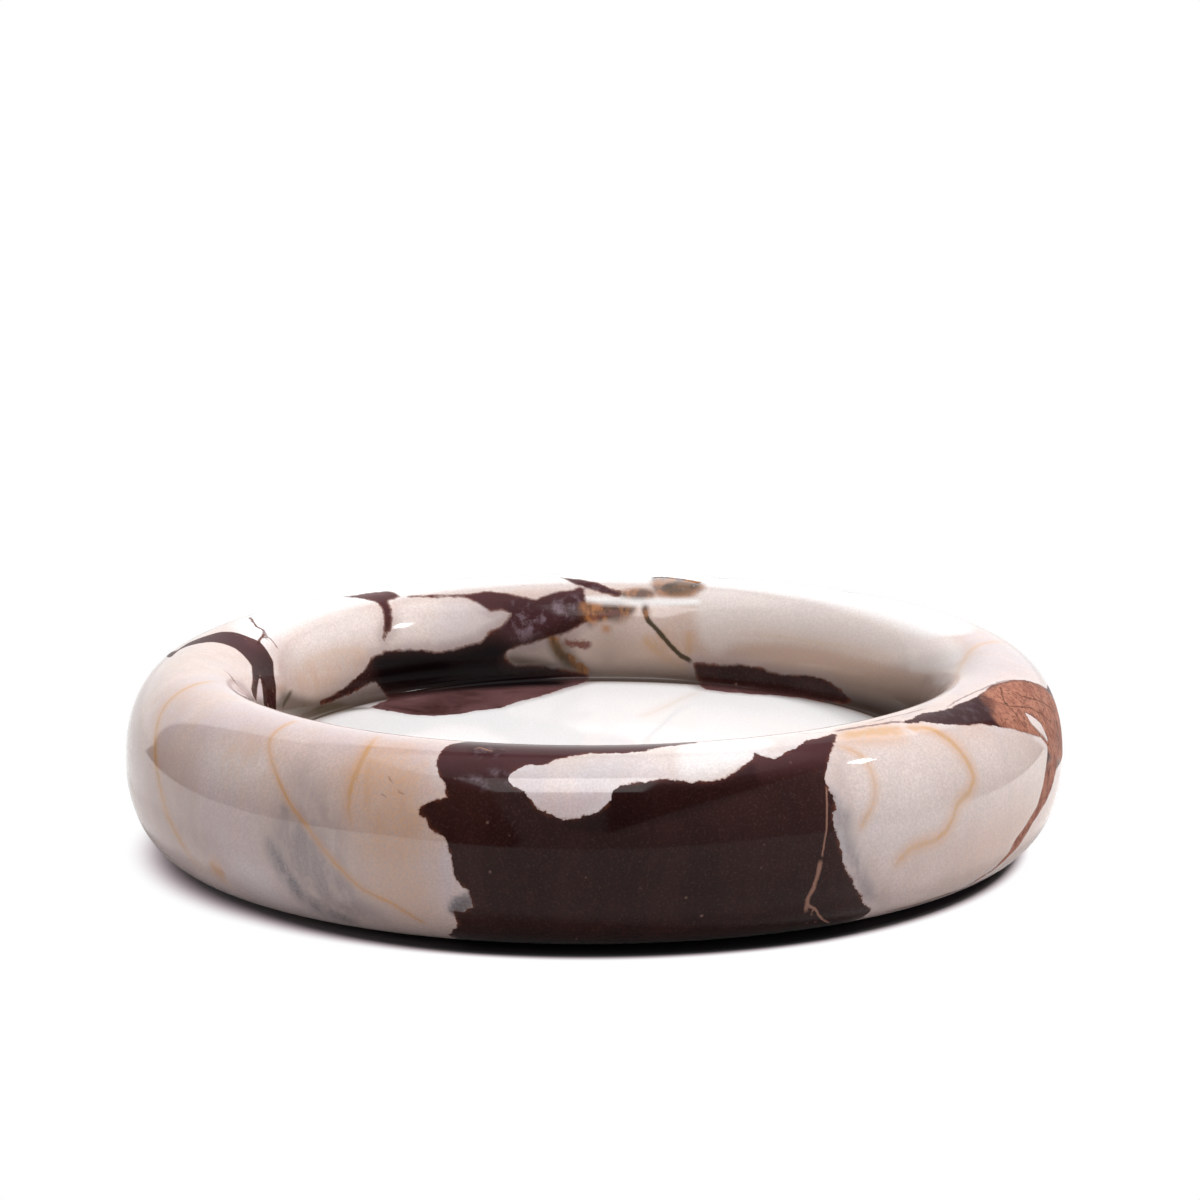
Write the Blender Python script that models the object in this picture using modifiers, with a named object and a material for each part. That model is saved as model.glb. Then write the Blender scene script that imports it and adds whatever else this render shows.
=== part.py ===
"""Marble catch-all: a round tray for keys, rings and coins, turned from one thick disc of veined marble.

The rim is a full round, so it rolls in to the recessed floor and out and under to a flat underside.
Four felt pads are let into shallow seats in that underside. Each is held by its own adhesive disc and
stands a little proud of the stone, so that the polished marble never rubs on a table.

Metres, +Z up. The origin is on the table, under the middle of the tray, and -Y is the front.
"""

import math

import bpy

# Stone: overall sizes of the turned body.
TRAY_DIAMETER = 0.200
STONE_THICKNESS = 0.040
RIM_WIDTH = 0.0295
RIM_SQUARENESS = 2.19  # exponent of the rim's rounded section, where 2 is an ellipse
FLOOR_THICKNESS = 0.019
FLOOR_FILLET = 0.0018  # radius left by the tool where the wall meets the floor

# Pads: die-cut felt, and where the discs sit.
PAD_DIAMETER = 0.016
PAD_THICKNESS = 0.0022
PAD_EDGE_ROUNDING = 0.0003
PAD_STAND_PROUD = 0.0010
PAD_INSET = 0.036  # from the tray's outer edge to the middle of a pad
PAD_CORNERS = {"front_left": 225, "front_right": 315, "rear_right": 45, "rear_left": 135}

# Adhesive discs, between each pad and the stone.
ADHESIVE_SETBACK = 0.0007  # from the pad's edge in to the disc's edge, so that no glue shows
ADHESIVE_THICKNESS = 0.0005

# Clearances.
BOND_GAP = 0.0003  # between two pieces that touch
SEAT_CLEARANCE = 0.0004  # around a pad, in its seat
CUT_OVERRUN = 0.002  # how far a cutter runs out of the stone

# How finely round shapes are divided.
TURNING_STEPS = 96
RIM_POINTS = 22  # over the outer half of the rim, from its top to its underside
FILLET_POINTS = 4
DISC_SIDES = 32
SMALLEST_MERGE = 0.00001
SHARP_ANGLE = math.radians(35)

# Places that follow from the sizes above.
TRAY_RADIUS = TRAY_DIAMETER / 2
RIM_HALF_WIDTH = RIM_WIDTH / 2
RIM_HALF_HEIGHT = STONE_THICKNESS / 2
RIM_RADIUS = TRAY_RADIUS - RIM_HALF_WIDTH
PAD_CIRCLE = TRAY_RADIUS - PAD_INSET
PAD_RADIUS = PAD_DIAMETER / 2
SEAT_RADIUS = PAD_RADIUS + SEAT_CLEARANCE
ADHESIVE_RADIUS = PAD_RADIUS - ADHESIVE_SETBACK
ADHESIVE_BASE = PAD_THICKNESS + BOND_GAP
SEAT_TOP = ADHESIVE_BASE + ADHESIVE_THICKNESS + BOND_GAP


def new_collection(name):
    """Return a new collection of the scene."""
    collection = bpy.data.collections.new(name)
    bpy.context.scene.collection.children.link(collection)
    return collection


def new_material(name, colour, roughness, metallic):
    """Return a Principled material."""
    material = bpy.data.materials.new(name)
    material.use_nodes = True
    shader = material.node_tree.nodes["Principled BSDF"]
    shader.inputs["Base Color"].default_value = (*colour, 1)
    shader.inputs["Roughness"].default_value = roughness
    shader.inputs["Metallic"].default_value = metallic
    return material


def put_in(collection, piece, name, material=None):
    """Name the piece, move it to one collection and give it its material."""
    piece.name = name
    piece.data.name = name
    for old in list(piece.users_collection):
        old.objects.unlink(piece)
    collection.objects.link(piece)
    if material:
        piece.data.materials.append(material)
    return piece


def rim_point(angle):
    """Return the radius and height of the rim's rounded section at an angle around it."""
    power = 2 / RIM_SQUARENESS
    across = math.copysign(abs(math.cos(angle)) ** power, math.cos(angle))
    up = math.copysign(abs(math.sin(angle)) ** power, math.sin(angle))
    return RIM_RADIUS + RIM_HALF_WIDTH * across, RIM_HALF_HEIGHT * (1 + up)


def tray_profile():
    """Return the turned outline, from the middle of the floor over the rim to the middle underneath."""
    wall_foot = FLOOR_THICKNESS + FLOOR_FILLET
    rise_share = min(max(wall_foot / RIM_HALF_HEIGHT - 1, 0), 1)
    first_angle = math.pi - math.asin(rise_share ** (RIM_SQUARENESS / 2))
    wall_radius = rim_point(first_angle)[0]
    outline = [(0, FLOOR_THICKNESS)]
    for step in range(FILLET_POINTS):
        turn = math.pi / 2 * step / FILLET_POINTS
        radius = wall_radius - FLOOR_FILLET + FLOOR_FILLET * math.sin(turn)
        outline.append((radius, wall_foot - FLOOR_FILLET * math.cos(turn)))
    if wall_foot < RIM_HALF_HEIGHT:
        outline.append((wall_radius, wall_foot))
    top_angle = math.pi / 2
    for step in range(RIM_POINTS // 2):
        outline.append(rim_point(first_angle + (top_angle - first_angle) * step / (RIM_POINTS // 2)))
    for step in range(RIM_POINTS + 1):
        outline.append(rim_point(top_angle - math.pi * step / RIM_POINTS))
    outline.append((0, 0))
    return outline


def make_marble_tray(parts, cutters):
    """Turn the stone body and sink the four pad seats into its underside."""
    outline = tray_profile()
    mesh = bpy.data.meshes.new("marble_tray")
    edges = [(index, index + 1) for index in range(len(outline) - 1)]
    mesh.from_pydata([(radius, 0, height) for radius, height in outline], edges, [])
    tray = bpy.data.objects.new("marble_tray", mesh)
    marble = new_material("marble", (0.78, 0.73, 0.70), 0.12, 0)
    put_in(parts, tray, "marble_tray", marble)
    tray.location.z = PAD_STAND_PROUD

    turning = tray.modifiers.new("turning", "SCREW")
    turning.axis = "Z"
    turning.steps = TURNING_STEPS
    turning.render_steps = TURNING_STEPS
    turning.use_merge_vertices = True
    turning.merge_threshold = SMALLEST_MERGE
    turning.use_smooth_shade = True

    for corner, degrees in PAD_CORNERS.items():
        seat = make_seat_cutter(cutters, corner, degrees)
        cut = tray.modifiers.new("pad_seat_" + corner, "BOOLEAN")
        cut.operation = "DIFFERENCE"
        cut.solver = "EXACT"
        cut.object = seat
    return tray


def pad_place(degrees, height):
    """Return a point on the pad circle."""
    angle = math.radians(degrees)
    return PAD_CIRCLE * math.cos(angle), PAD_CIRCLE * math.sin(angle), height


def add_disc(radius, bottom, top, degrees):
    """Add a flat round disc whose axis stands on the pad circle."""
    bpy.ops.mesh.primitive_cylinder_add(
        vertices=DISC_SIDES,
        radius=radius,
        depth=top - bottom,
        location=pad_place(degrees, (bottom + top) / 2),
    )
    return bpy.context.object


def make_seat_cutter(cutters, corner, degrees):
    """Make the drill that leaves a pad's seat."""
    seat = add_disc(SEAT_RADIUS, PAD_STAND_PROUD - CUT_OVERRUN, SEAT_TOP, degrees)
    put_in(cutters, seat, "seat_cutter_" + corner)
    seat.hide_render = True
    seat.display_type = "WIRE"
    return seat


def shade_round(piece):
    """Shade the round side smooth and keep the flat ends crisp."""
    piece.data.shade_smooth()
    piece.data.set_sharp_from_angle(angle=SHARP_ANGLE)


def make_felt_pad(parts, corner, degrees, felt):
    """Make one die-cut felt pad, with softly rounded edges."""
    pad = add_disc(PAD_RADIUS, 0, PAD_THICKNESS, degrees)
    put_in(parts, pad, "felt_pad_" + corner, felt)
    rounding = pad.modifiers.new("edge_rounding", "BEVEL")
    rounding.width = PAD_EDGE_ROUNDING
    rounding.segments = 2
    shade_round(pad)
    return pad


def make_adhesive_disc(parts, corner, degrees, adhesive):
    """Make the double-sided disc that bonds one pad to the roof of its seat."""
    top = ADHESIVE_BASE + ADHESIVE_THICKNESS
    disc = add_disc(ADHESIVE_RADIUS, ADHESIVE_BASE, top, degrees)
    put_in(parts, disc, "pad_adhesive_" + corner, adhesive)
    shade_round(disc)
    return disc


def main():
    """Build the whole tray."""
    for old in list(bpy.data.objects):
        bpy.data.objects.remove(old, do_unlink=True)
    parts = new_collection("marble_catch_all")
    cutters = new_collection("cutters")
    make_marble_tray(parts, cutters)
    felt = new_material("felt", (0.26, 0.23, 0.20), 0.95, 0)
    adhesive = new_material("adhesive", (0.85, 0.83, 0.76), 0.45, 0)
    for corner, degrees in PAD_CORNERS.items():
        make_felt_pad(parts, corner, degrees, felt)
        make_adhesive_disc(parts, corner, degrees, adhesive)


main()
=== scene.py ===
# %% [markdown]
# # A marble catch-all
# A round tray for keys and coins, turned from one thick disc of brecciated marble and polished all over.
# Cream stone, once broken by earth movement, was healed by chocolate-brown mineral, and ochre veins run
# through both. Four felt pads under the tray keep the stone off the table. The packed model gives the shape
# and the place of each piece. This lesson gives them their surfaces, and builds the light in which a polished
# stone looks polished.

# %% Load the frame
import math

import bmesh
import bpy
import numpy as np
from mathutils import Matrix, Vector
from mathutils.bvhtree import BVHTree
from mathutils.geometry import delaunay_2d_cdt
from mathutils.kdtree import KDTree


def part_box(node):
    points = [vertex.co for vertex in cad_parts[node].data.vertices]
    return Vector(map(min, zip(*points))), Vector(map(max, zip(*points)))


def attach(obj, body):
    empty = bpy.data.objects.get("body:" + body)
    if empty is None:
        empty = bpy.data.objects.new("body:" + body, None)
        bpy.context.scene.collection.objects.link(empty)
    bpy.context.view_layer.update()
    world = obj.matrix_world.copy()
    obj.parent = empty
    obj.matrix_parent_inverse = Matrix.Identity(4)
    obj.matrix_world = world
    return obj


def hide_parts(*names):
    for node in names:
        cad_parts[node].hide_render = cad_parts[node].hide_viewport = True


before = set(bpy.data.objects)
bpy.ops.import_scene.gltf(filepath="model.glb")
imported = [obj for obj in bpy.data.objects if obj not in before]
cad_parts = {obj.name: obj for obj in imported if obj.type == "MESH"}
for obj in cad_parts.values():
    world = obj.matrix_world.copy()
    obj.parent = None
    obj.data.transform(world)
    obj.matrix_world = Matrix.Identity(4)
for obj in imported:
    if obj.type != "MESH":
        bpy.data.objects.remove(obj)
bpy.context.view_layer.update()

print("pieces in the frame:", sorted(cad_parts))

# %% [markdown]
# ## The camera
# The tray is seen through a long lens from just above the table. The numbers come from fitting the tray's own
# outlines: its widest line, the rim's inner contour and the foot of the wall. The same numbers later turn a
# place in the picture into a place on the stone, so they are kept as plain vectors.

# %% Place the camera
MM = 0.001
PICTURE_SIDE = 1200
PICTURE_MIDDLE = PICTURE_SIDE / 2
FOCAL_PIXELS = 5812.4
SENSOR_WIDTH = 36
CAMERA_DISTANCE = 1.25
CAMERA_HEIGHT_ANGLE = math.radians(14.105)
CAMERA_PITCH = math.radians(11.762)
CAMERA_YAW = math.radians(0.066)
CAMERA_ROLL = math.radians(-0.27)
STONE_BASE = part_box("marble_tray")[0].z

forward = Vector((
    math.sin(CAMERA_YAW) * math.cos(CAMERA_PITCH),
    math.cos(CAMERA_YAW) * math.cos(CAMERA_PITCH),
    -math.sin(CAMERA_PITCH),
))
level_right = forward.cross(Vector((0, 0, 1))).normalized()
level_up = level_right.cross(forward)
picture_right = level_right * math.cos(CAMERA_ROLL) + level_up * math.sin(CAMERA_ROLL)
picture_up = picture_right.cross(forward)
eye = Vector((
    0,
    -CAMERA_DISTANCE * math.cos(CAMERA_HEIGHT_ANGLE),
    CAMERA_DISTANCE * math.sin(CAMERA_HEIGHT_ANGLE) + STONE_BASE,
))
turned = Matrix((picture_right, picture_up, -forward)).transposed().to_4x4()



def add_object(name, data):
    """Add an object to the scene."""
    made = bpy.data.objects.new(name, data)
    bpy.context.scene.collection.objects.link(made)
    return made


camera_data = bpy.data.cameras.new("long_lens")
camera_data.lens = FOCAL_PIXELS / PICTURE_SIDE * SENSOR_WIDTH
camera_data.sensor_width = SENSOR_WIDTH
camera = add_object("long_lens", camera_data)
camera.matrix_world = Matrix.Translation(eye) @ turned
bpy.context.scene.camera = camera
print("lens", round(camera_data.lens, 1), "mm at", [round(value, 4) for value in eye])

# %% [markdown]
# ## Sums that become nodes
# A procedural finish is mostly arithmetic, and arithmetic is easier to read as a formula than as a web of
# boxes. This small class wraps one output socket. Adding, multiplying or subtracting wraps adds the Math node
# that does it, `paint` lays one colour over another, and `node` adds any other node.

# %% Wrap a socket
class Wire:
    """One output socket of a node, on which Python's operators add Math nodes."""

    def __init__(self, socket):
        self.socket = socket

    def node(self, kind, settings, sockets, output=0):
        """Add a node to this wire's tree, set it up, join it, and return one of its outputs."""
        tree = self.socket.id_data
        made = tree.nodes.new(kind)
        for name, value in settings.items():
            setattr(made, name, value)
        for key, value in sockets.items():
            if isinstance(value, Wire):
                tree.links.new(value.socket, made.inputs[key])
            else:
                made.inputs[key].default_value = value
        return Wire(made.outputs[output])

    def maths(self, operation, *values):
        return self.node("ShaderNodeMath", {"operation": operation}, dict(enumerate(values)))

    def __add__(self, other):
        return self.maths("ADD", self, other)

    __radd__ = __add__

    def __mul__(self, other):
        return self.maths("MULTIPLY", self, other)

    __rmul__ = __mul__

    def __sub__(self, other):
        return self.maths("SUBTRACT", self, other)

    def __rsub__(self, other):
        return self.maths("SUBTRACT", other, self)

    def __truediv__(self, other):
        return self.maths("DIVIDE", self, other)

    def least(self, other):
        return self.maths("MINIMUM", self, other)

    def most(self, other):
        return self.maths("MAXIMUM", self, other)

    def rise(self, low, high):
        """Go smoothly from 0 at low to 1 at high, or down from 1 if low is the larger."""
        spread = {"Value": self, "From Min": low, "From Max": high}
        return self.node("ShaderNodeMapRange", {"interpolation_type": "SMOOTHSTEP"}, spread)

    def paint(self, under, over):
        """Lay one colour over another, with this wire as how much of it covers."""
        return self.node("ShaderNodeMix", {"data_type": "RGBA"}, {0: self, 6: under, 7: over}, 2)


print("a wire's own methods:", [name for name in vars(Wire) if not name.startswith("_")])

# %% [markdown]
# A few masks come back often: which side of an edge a value lies on, or whether it lies between two.

# %% Make masks
def over(value, edge, soft):
    """Return 1 above an edge and 0 below it."""
    return value.rise(edge - soft, edge + soft)


def under(value, edge, soft):
    """Return 1 below an edge and 0 above it."""
    return value.rise(edge + soft, edge - soft)


def band(value, low, high, soft):
    """Return 1 between two limits and 0 outside them."""
    return over(value, low, soft) * under(value, high, soft)


print("masks run from 0 to 1")

# %% [markdown]
# ## Starting and ending a finish
# Every finish starts from a coordinate and ends in a shader, so these steps are written once, and so is the
# question of what kind of ray asks for the colour.

# %% Start and end a finish
WHITE = (1, 1, 1, 1)
BLACK = (0, 0, 0, 1)


def coordinates(tree, output):
    """Return one kind of texture coordinate as a wire, to start a tree's sums with."""
    return Wire(tree.nodes.new("ShaderNodeTexCoord").outputs[output])


def split(vector):
    """Return the three numbers of a vector as wires."""
    parts = vector.node("ShaderNodeSeparateXYZ", {}, {0: vector})
    return [Wire(output) for output in parts.socket.node.outputs]


def ray_kinds(tree):
    """Return 1 where a mirror asks for the light, and 1 where the camera does."""
    outputs = tree.nodes.new("ShaderNodeLightPath").outputs
    return Wire(outputs["Is Glossy Ray"]), Wire(outputs["Is Camera Ray"])


def noise(place, scale, detail=4, roughness=0.55, distortion=0.0):
    """Return fractal noise round 0.5, with a scale in bumps per metre."""
    return place.node("ShaderNodeTexNoise", {}, {
        "Vector": place, "Scale": scale, "Detail": detail, "Roughness": roughness, "Distortion": distortion,
    })


def mix_shaders(cover, below, above):
    """Return one shader over another, with a wire as how much of it covers."""
    return cover.node("ShaderNodeMixShader", {}, {0: cover, 1: below, 2: above})


def new_finish(name):
    """Return a new material with an empty tree, and a place on its object to start its sums with."""
    material = bpy.data.materials.new(name)
    material.use_nodes = True
    material.node_tree.nodes.clear()
    return material, coordinates(material.node_tree, "Object")


def end_finish(material, shader):
    """Make a shader the surface of a material."""
    output = material.node_tree.nodes.new("ShaderNodeOutputMaterial")
    material.node_tree.links.new(shader.socket, output.inputs["Surface"])
    print(material.name, "has", len(material.node_tree.nodes), "nodes")


print("a finish starts at its object's own coordinates")

# %% [markdown]
# ## The studio
# Polished stone is a mirror that gives back four parts in a hundred straight on and much more at a slant, so
# what stands around the tray matters as much as its colour. The studio has a white backdrop behind the tray,
# a hazy white ceiling, and a dark room on the other sides. All of it is drawn on the world, as a function of
# direction, because flat regions with clear edges are all that a mirror shows. The camera itself sees plain
# white.

# %% Draw the backdrop and the ceiling
BACKDROP_SIDE = math.radians(43.5)
BACKDROP_TOP = math.radians(49)
CEILING_START = math.radians(60)
SOFT_EDGE = math.radians(1.5)
BACKDROP_LIGHT = 1.15
CEILING_LIGHT = 1.0

world = bpy.data.worlds.new("studio")
bpy.context.scene.world = world
world.use_nodes = True
studio = world.node_tree
towards_x, towards_y, towards_z = split(coordinates(studio, "Generated"))
height_angle = towards_z.maths("ARCSINE", towards_z)
round_angle = towards_x.maths("ARCTAN2", towards_x, towards_y)
backdrop = band(round_angle, -BACKDROP_SIDE, BACKDROP_SIDE, SOFT_EDGE)
backdrop = backdrop * under(height_angle, BACKDROP_TOP, SOFT_EDGE)
ceiling = over(height_angle, CEILING_START, SOFT_EDGE)
print("backdrop up to", round(math.degrees(BACKDROP_TOP)), "degrees")

# %% [markdown]
# Behind the camera stands a bright window wall. Its left part leans and ends at a flat top, and its right
# part rises with a slope, which is what the brown front of the tray mirrors. Each edge is a straight line on
# a wall one metre away, and so is each edge of the soft box overhead, on a ceiling one metre up.

# %% Draw the window wall and the soft box
WINDOW_LIGHT = 0.6
WINDOW_LEFT = -0.308
WINDOW_LEAN = 0.237
WINDOW_BEND = 0.05
LEANING_END = 0.052
WINDOW_TOP = 1.55
SLOPE = 1.193
SLOPE_START = -0.04
HORIZON_EDGE = 0.015
BOX_SIDES = (-0.47, 0.22)
BOX_ENDS = (-0.82, -0.31)
BOX_IN_MIRROR = 5.0
MIRROR_EDGE = 0.02
TOP_EDGE = 0.05
NEVER_ZERO = 0.01


def window_wall(across, upward):
    """Return 1 where the window wall shows, from places on a wall behind the camera."""
    leaning = over(across + upward * WINDOW_LEAN, WINDOW_LEFT, MIRROR_EDGE)
    leaning = leaning * under(across, LEANING_END, MIRROR_EDGE) * under(upward, WINDOW_TOP, TOP_EDGE)
    sloping = over(across * SLOPE - upward, SLOPE_START, MIRROR_EDGE)
    return (leaning + sloping * over(across, WINDOW_BEND, MIRROR_EDGE)).least(1)


towards_front = 0 - towards_y
frontward = towards_front.most(NEVER_ZERO)
window = window_wall(towards_x / frontward, towards_z / frontward)
window = window * over(towards_front, HORIZON_EDGE, HORIZON_EDGE)
overhead = towards_z.most(NEVER_ZERO)
soft_box = band(towards_x / overhead, *BOX_SIDES, MIRROR_EDGE)
soft_box = soft_box * band(towards_y / overhead, *BOX_ENDS, MIRROR_EDGE)
soft_box = soft_box * over(towards_z, TOP_EDGE, TOP_EDGE)
print("soft box from", BOX_ENDS[0], "to", BOX_ENDS[1], "along the room")

# %% [markdown]
# All parts of the room are joined by taking the brightest, so they never add up where they overlap. The soft
# box shows in mirrors alone.

# %% Light the studio
ROOM_LIGHT = 0.05
SKY_SAMPLES = 512

in_mirror, to_camera = ray_kinds(studio)
studio_light = (backdrop * BACKDROP_LIGHT).most(ceiling * CEILING_LIGHT).most(window * WINDOW_LIGHT)
studio_light = studio_light.most(soft_box * in_mirror * BOX_IN_MIRROR).most(ROOM_LIGHT)
studio_light = studio_light * (1 - to_camera) + to_camera
background = studio.nodes["Background"]
background.inputs["Color"].default_value = WHITE
studio.links.new(studio_light.socket, background.inputs["Strength"])
world.cycles.sampling_method = "MANUAL"
world.cycles.sample_map_resolution = SKY_SAMPLES
print("studio lit with", len(studio.nodes), "nodes")

# %% [markdown]
# ## The lamps
# Four lamps add what the room can't. A key lamp at the right shapes the rim, an overhead lamp lights the
# floor, and a weak fill lifts the left side. These three light the stone but stay out of its mirror. The
# small highlight lamp, in the same direction as the key, is the only one that the polish gives back.

# %% Hang the lamps
LAMPS = {
    "key_lamp": {"place": (0.736, -0.043, 0.767), "width": 0.16, "height": 0.16, "radiance": 54},
    "highlight_lamp": {"place": (0.714, -0.042, 0.744), "width": 0.08, "height": 0.08, "radiance": 30},
    "overhead_lamp": {"place": (0.03, -0.03, 1.1), "width": 0.30, "height": 0.30, "radiance": 23.5},
    "fill_lamp": {"place": (-1.05, -0.45, 0.50), "width": 0.6, "height": 0.4, "radiance": 2.9},
}


def hang_lamp(name, place, width, height, radiance):
    """Hang a soft box of an even radiance, facing the tray."""
    data = bpy.data.lights.new(name, "AREA")
    data.shape = "RECTANGLE"
    data.size = width
    data.size_y = height
    data.energy = radiance * math.pi * width * height
    lamp = add_object(name, data)
    lamp.location = place
    lamp.rotation_euler = Vector(place).to_track_quat("Z", "Y").to_euler()
    lamp.visible_glossy = name == "highlight_lamp"
    print(name, "of", round(data.energy, 2), "watts")


for name, lamp in LAMPS.items():
    hang_lamp(name, **lamp)
bpy.context.scene.view_settings.view_transform = "Standard"

# %% [markdown]
# ## The table
# A plain white table top. To the camera it goes on for ever and melts into the white backdrop, but for a warm
# shadow that clings to the foot of the tray: thin at the front, wider at both sides. The shadow's reach is a
# distance from the middle, drawn in or pushed out on each side.

# %% Draw the shadow under the tray
TABLE_WHITE = (0.92, 0.92, 0.92, 1)
TABLE_SHADE = (0.05, 0.045, 0.05, 1)
TABLE_SHADE_LEFT = (0.26, 0.24, 0.25, 1)
SHADOW_TINT = (0.86, 0.67, 0.73, 1)
SHADE_START = 0.0905
SHADE_END = 0.0985
WHITE_START = 0.0925
WHITE_WHOLE = 0.0965
LEFT_START = 0.0875
LEFT_WHOLE = 0.0990
LEFT_SIDE = (-0.02, -0.085)
RIGHT_FROM = 0.045
RIGHT_DRAWN_IN = 0.062
LEFT_FROM = -0.070
LEFT_PUSHED_OUT = 0.06

table_finish, table_place = new_finish("table_white")
table_x, table_y, _ = split(table_place)
from_middle = table_x.maths("SQRT", table_x * table_x + table_y * table_y)
reach = from_middle + (table_x - RIGHT_FROM).most(0) * RIGHT_DRAWN_IN
reach = reach - (LEFT_FROM - table_x).most(0) * LEFT_PUSHED_OUT
leftward = table_x.rise(*LEFT_SIDE)
white_start = leftward * (LEFT_START - WHITE_START) + WHITE_START
white_whole = leftward * (LEFT_WHOLE - WHITE_WHOLE) + WHITE_WHOLE
uncovered = reach.rise(white_start, white_whole)
shaded = leftward.paint(TABLE_SHADE, TABLE_SHADE_LEFT)
table_top = reach.rise(SHADE_START, SHADE_END).paint(shaded, TABLE_WHITE)
print("the shadow ends", round(WHITE_WHOLE / MM, 1), "mm from the middle")

# %% [markdown]
# In the stone's polish the table ends where the real one did, with the dark room beyond it, because the thin
# dark line above its edge is what makes the lower flank look wet. Behind the tray the white backdrop sweeps
# down onto the table, so a mirror that looks that way finds no edge.

# %% Draw the table in mirrors
TABLE_LEFT = -0.30
TABLE_RIGHT = 0.26
TABLE_FRONT = -0.32
TABLE_EDGE = 0.01
TABLE_BOUNCE = (0.55, 0.54, 0.56, 1)
TABLE_MIRRORED = (0.80, 0.80, 0.80, 1)
WINDOW_SIDE = 0.30
SWEEP_SLOPE = math.tan(BACKDROP_SIDE)
SWEEP_HALF = 0.1
SWEEP_EDGE = 0.02
SWEEP_START = 0.13
SWEEP_WHOLE = 0.30
SWEEP_LIGHT = 0.95


def glow(place, colour, strength=1.0):
    """Return a shader that shines with a colour."""
    return place.node("ShaderNodeEmission", {}, {"Color": colour, "Strength": strength})


table_in_mirror, table_to_camera = ray_kinds(table_finish.node_tree)
on_table = band(table_x, TABLE_LEFT, TABLE_RIGHT, TABLE_EDGE) * over(table_y, TABLE_FRONT, TABLE_EDGE)
facing_window = (table_x - table_y * WINDOW_SIDE).rise(0, TABLE_EDGE) * (0 - table_y).rise(0, TABLE_EDGE)
beyond = facing_window * (WINDOW_LIGHT - ROOM_LIGHT) + ROOM_LIGHT
from_axis = table_x.maths("ABSOLUTE", table_x)
swept = (table_y * SWEEP_SLOPE + SWEEP_HALF - from_axis).rise(0, SWEEP_EDGE)
far_sweep = swept * from_middle.rise(SWEEP_START, SWEEP_WHOLE) * table_in_mirror
off_table = table_in_mirror * (1 - on_table.most(swept))
table_paint = table_to_camera.paint(table_in_mirror.paint(TABLE_BOUNCE, TABLE_MIRRORED), table_top)
table_shader = table_place.node("ShaderNodeBsdfDiffuse", {}, {"Color": table_paint})
white_glow = glow(table_place, uncovered.paint(SHADOW_TINT, WHITE))
table_shader = mix_shaders(uncovered * table_to_camera, table_shader, white_glow)
table_shader = mix_shaders(far_sweep, table_shader, glow(table_place, WHITE, SWEEP_LIGHT))
table_shader = mix_shaders(off_table, table_shader, glow(table_place, beyond.paint(BLACK, WHITE)))
end_finish(table_finish, table_shader)
print("in mirrors the table ends at", TABLE_LEFT, "and", TABLE_RIGHT)

# %% [markdown]
# The table itself is one flat face, so wide that its edge never shows. It isn't part of the tray.

# %% Lay the table
TABLE_HALF = 4.0
corners = [(-TABLE_HALF, -TABLE_HALF, 0), (TABLE_HALF, -TABLE_HALF, 0)]
corners += [(TABLE_HALF, TABLE_HALF, 0), (-TABLE_HALF, TABLE_HALF, 0)]
table_mesh = bpy.data.meshes.new("table_top")
table_mesh.from_pydata(corners, [], [(0, 1, 2, 3)])
table_mesh.materials.append(table_finish)
table = add_object("table_top", table_mesh)
print("table laid,", 2 * TABLE_HALF, "m across")

# %% [markdown]
# ## The turned stone
# The tray is a turned shape, so one profile describes it: out along the floor, up the inner wall, over the
# full-round rim and under to the flat base. The colour of this stone changes within a millimetre, so the rows
# are close together: the mesh's vertices will carry the pattern.

# %% Measure the rim
TRAY_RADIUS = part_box("marble_tray")[1].x
STONE_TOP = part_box("marble_tray")[1].z
RIM_WIDTH = 0.0295
RIM_SQUARENESS = 2.19
FLOOR_THICKNESS = 0.019
FLOOR_FILLET = 0.0018
RIM_HALF_WIDTH = RIM_WIDTH / 2
RIM_HALF_HEIGHT = (STONE_TOP - STONE_BASE) / 2
RIM_RADIUS = TRAY_RADIUS - RIM_HALF_WIDTH
FLOOR_HEIGHT = STONE_BASE + FLOOR_THICKNESS
FOOT_HEIGHT = FLOOR_HEIGHT + FLOOR_FILLET


def rim_point(around):
    """Return the radius and height of the rounded rim, at degrees from its outermost line up to its top."""
    angle = math.radians(around)
    power = 2 / RIM_SQUARENESS
    outward = math.copysign(abs(math.cos(angle)) ** power, math.cos(angle))
    up = math.copysign(abs(math.sin(angle)) ** power, math.sin(angle))
    return RIM_RADIUS + RIM_HALF_WIDTH * outward, STONE_BASE + RIM_HALF_HEIGHT * (1 + up)


foot_share = (FOOT_HEIGHT - STONE_BASE) / RIM_HALF_HEIGHT - 1
FOOT_AROUND = 180 - math.degrees(math.asin(foot_share ** (RIM_SQUARENESS / 2)))
FOOT_RADIUS = rim_point(FOOT_AROUND)[0]
print("the wall's foot lies", round(FOOT_RADIUS / MM, 1), "mm from the middle")

# %% [markdown]
# The profile is a list of rows, each with a radius and a height. Its length so far is kept with each row, and
# the rows go on as straight lines to the middle of the floor and of the base.

# %% Draw the profile
FLOOR_DISC_RADIUS = 0.066
BASE_DISC_RADIUS = 0.080
QUARTER_ROWS = 36
FILLET_ROWS = 5
FLAT_ROWS = 3


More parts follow.
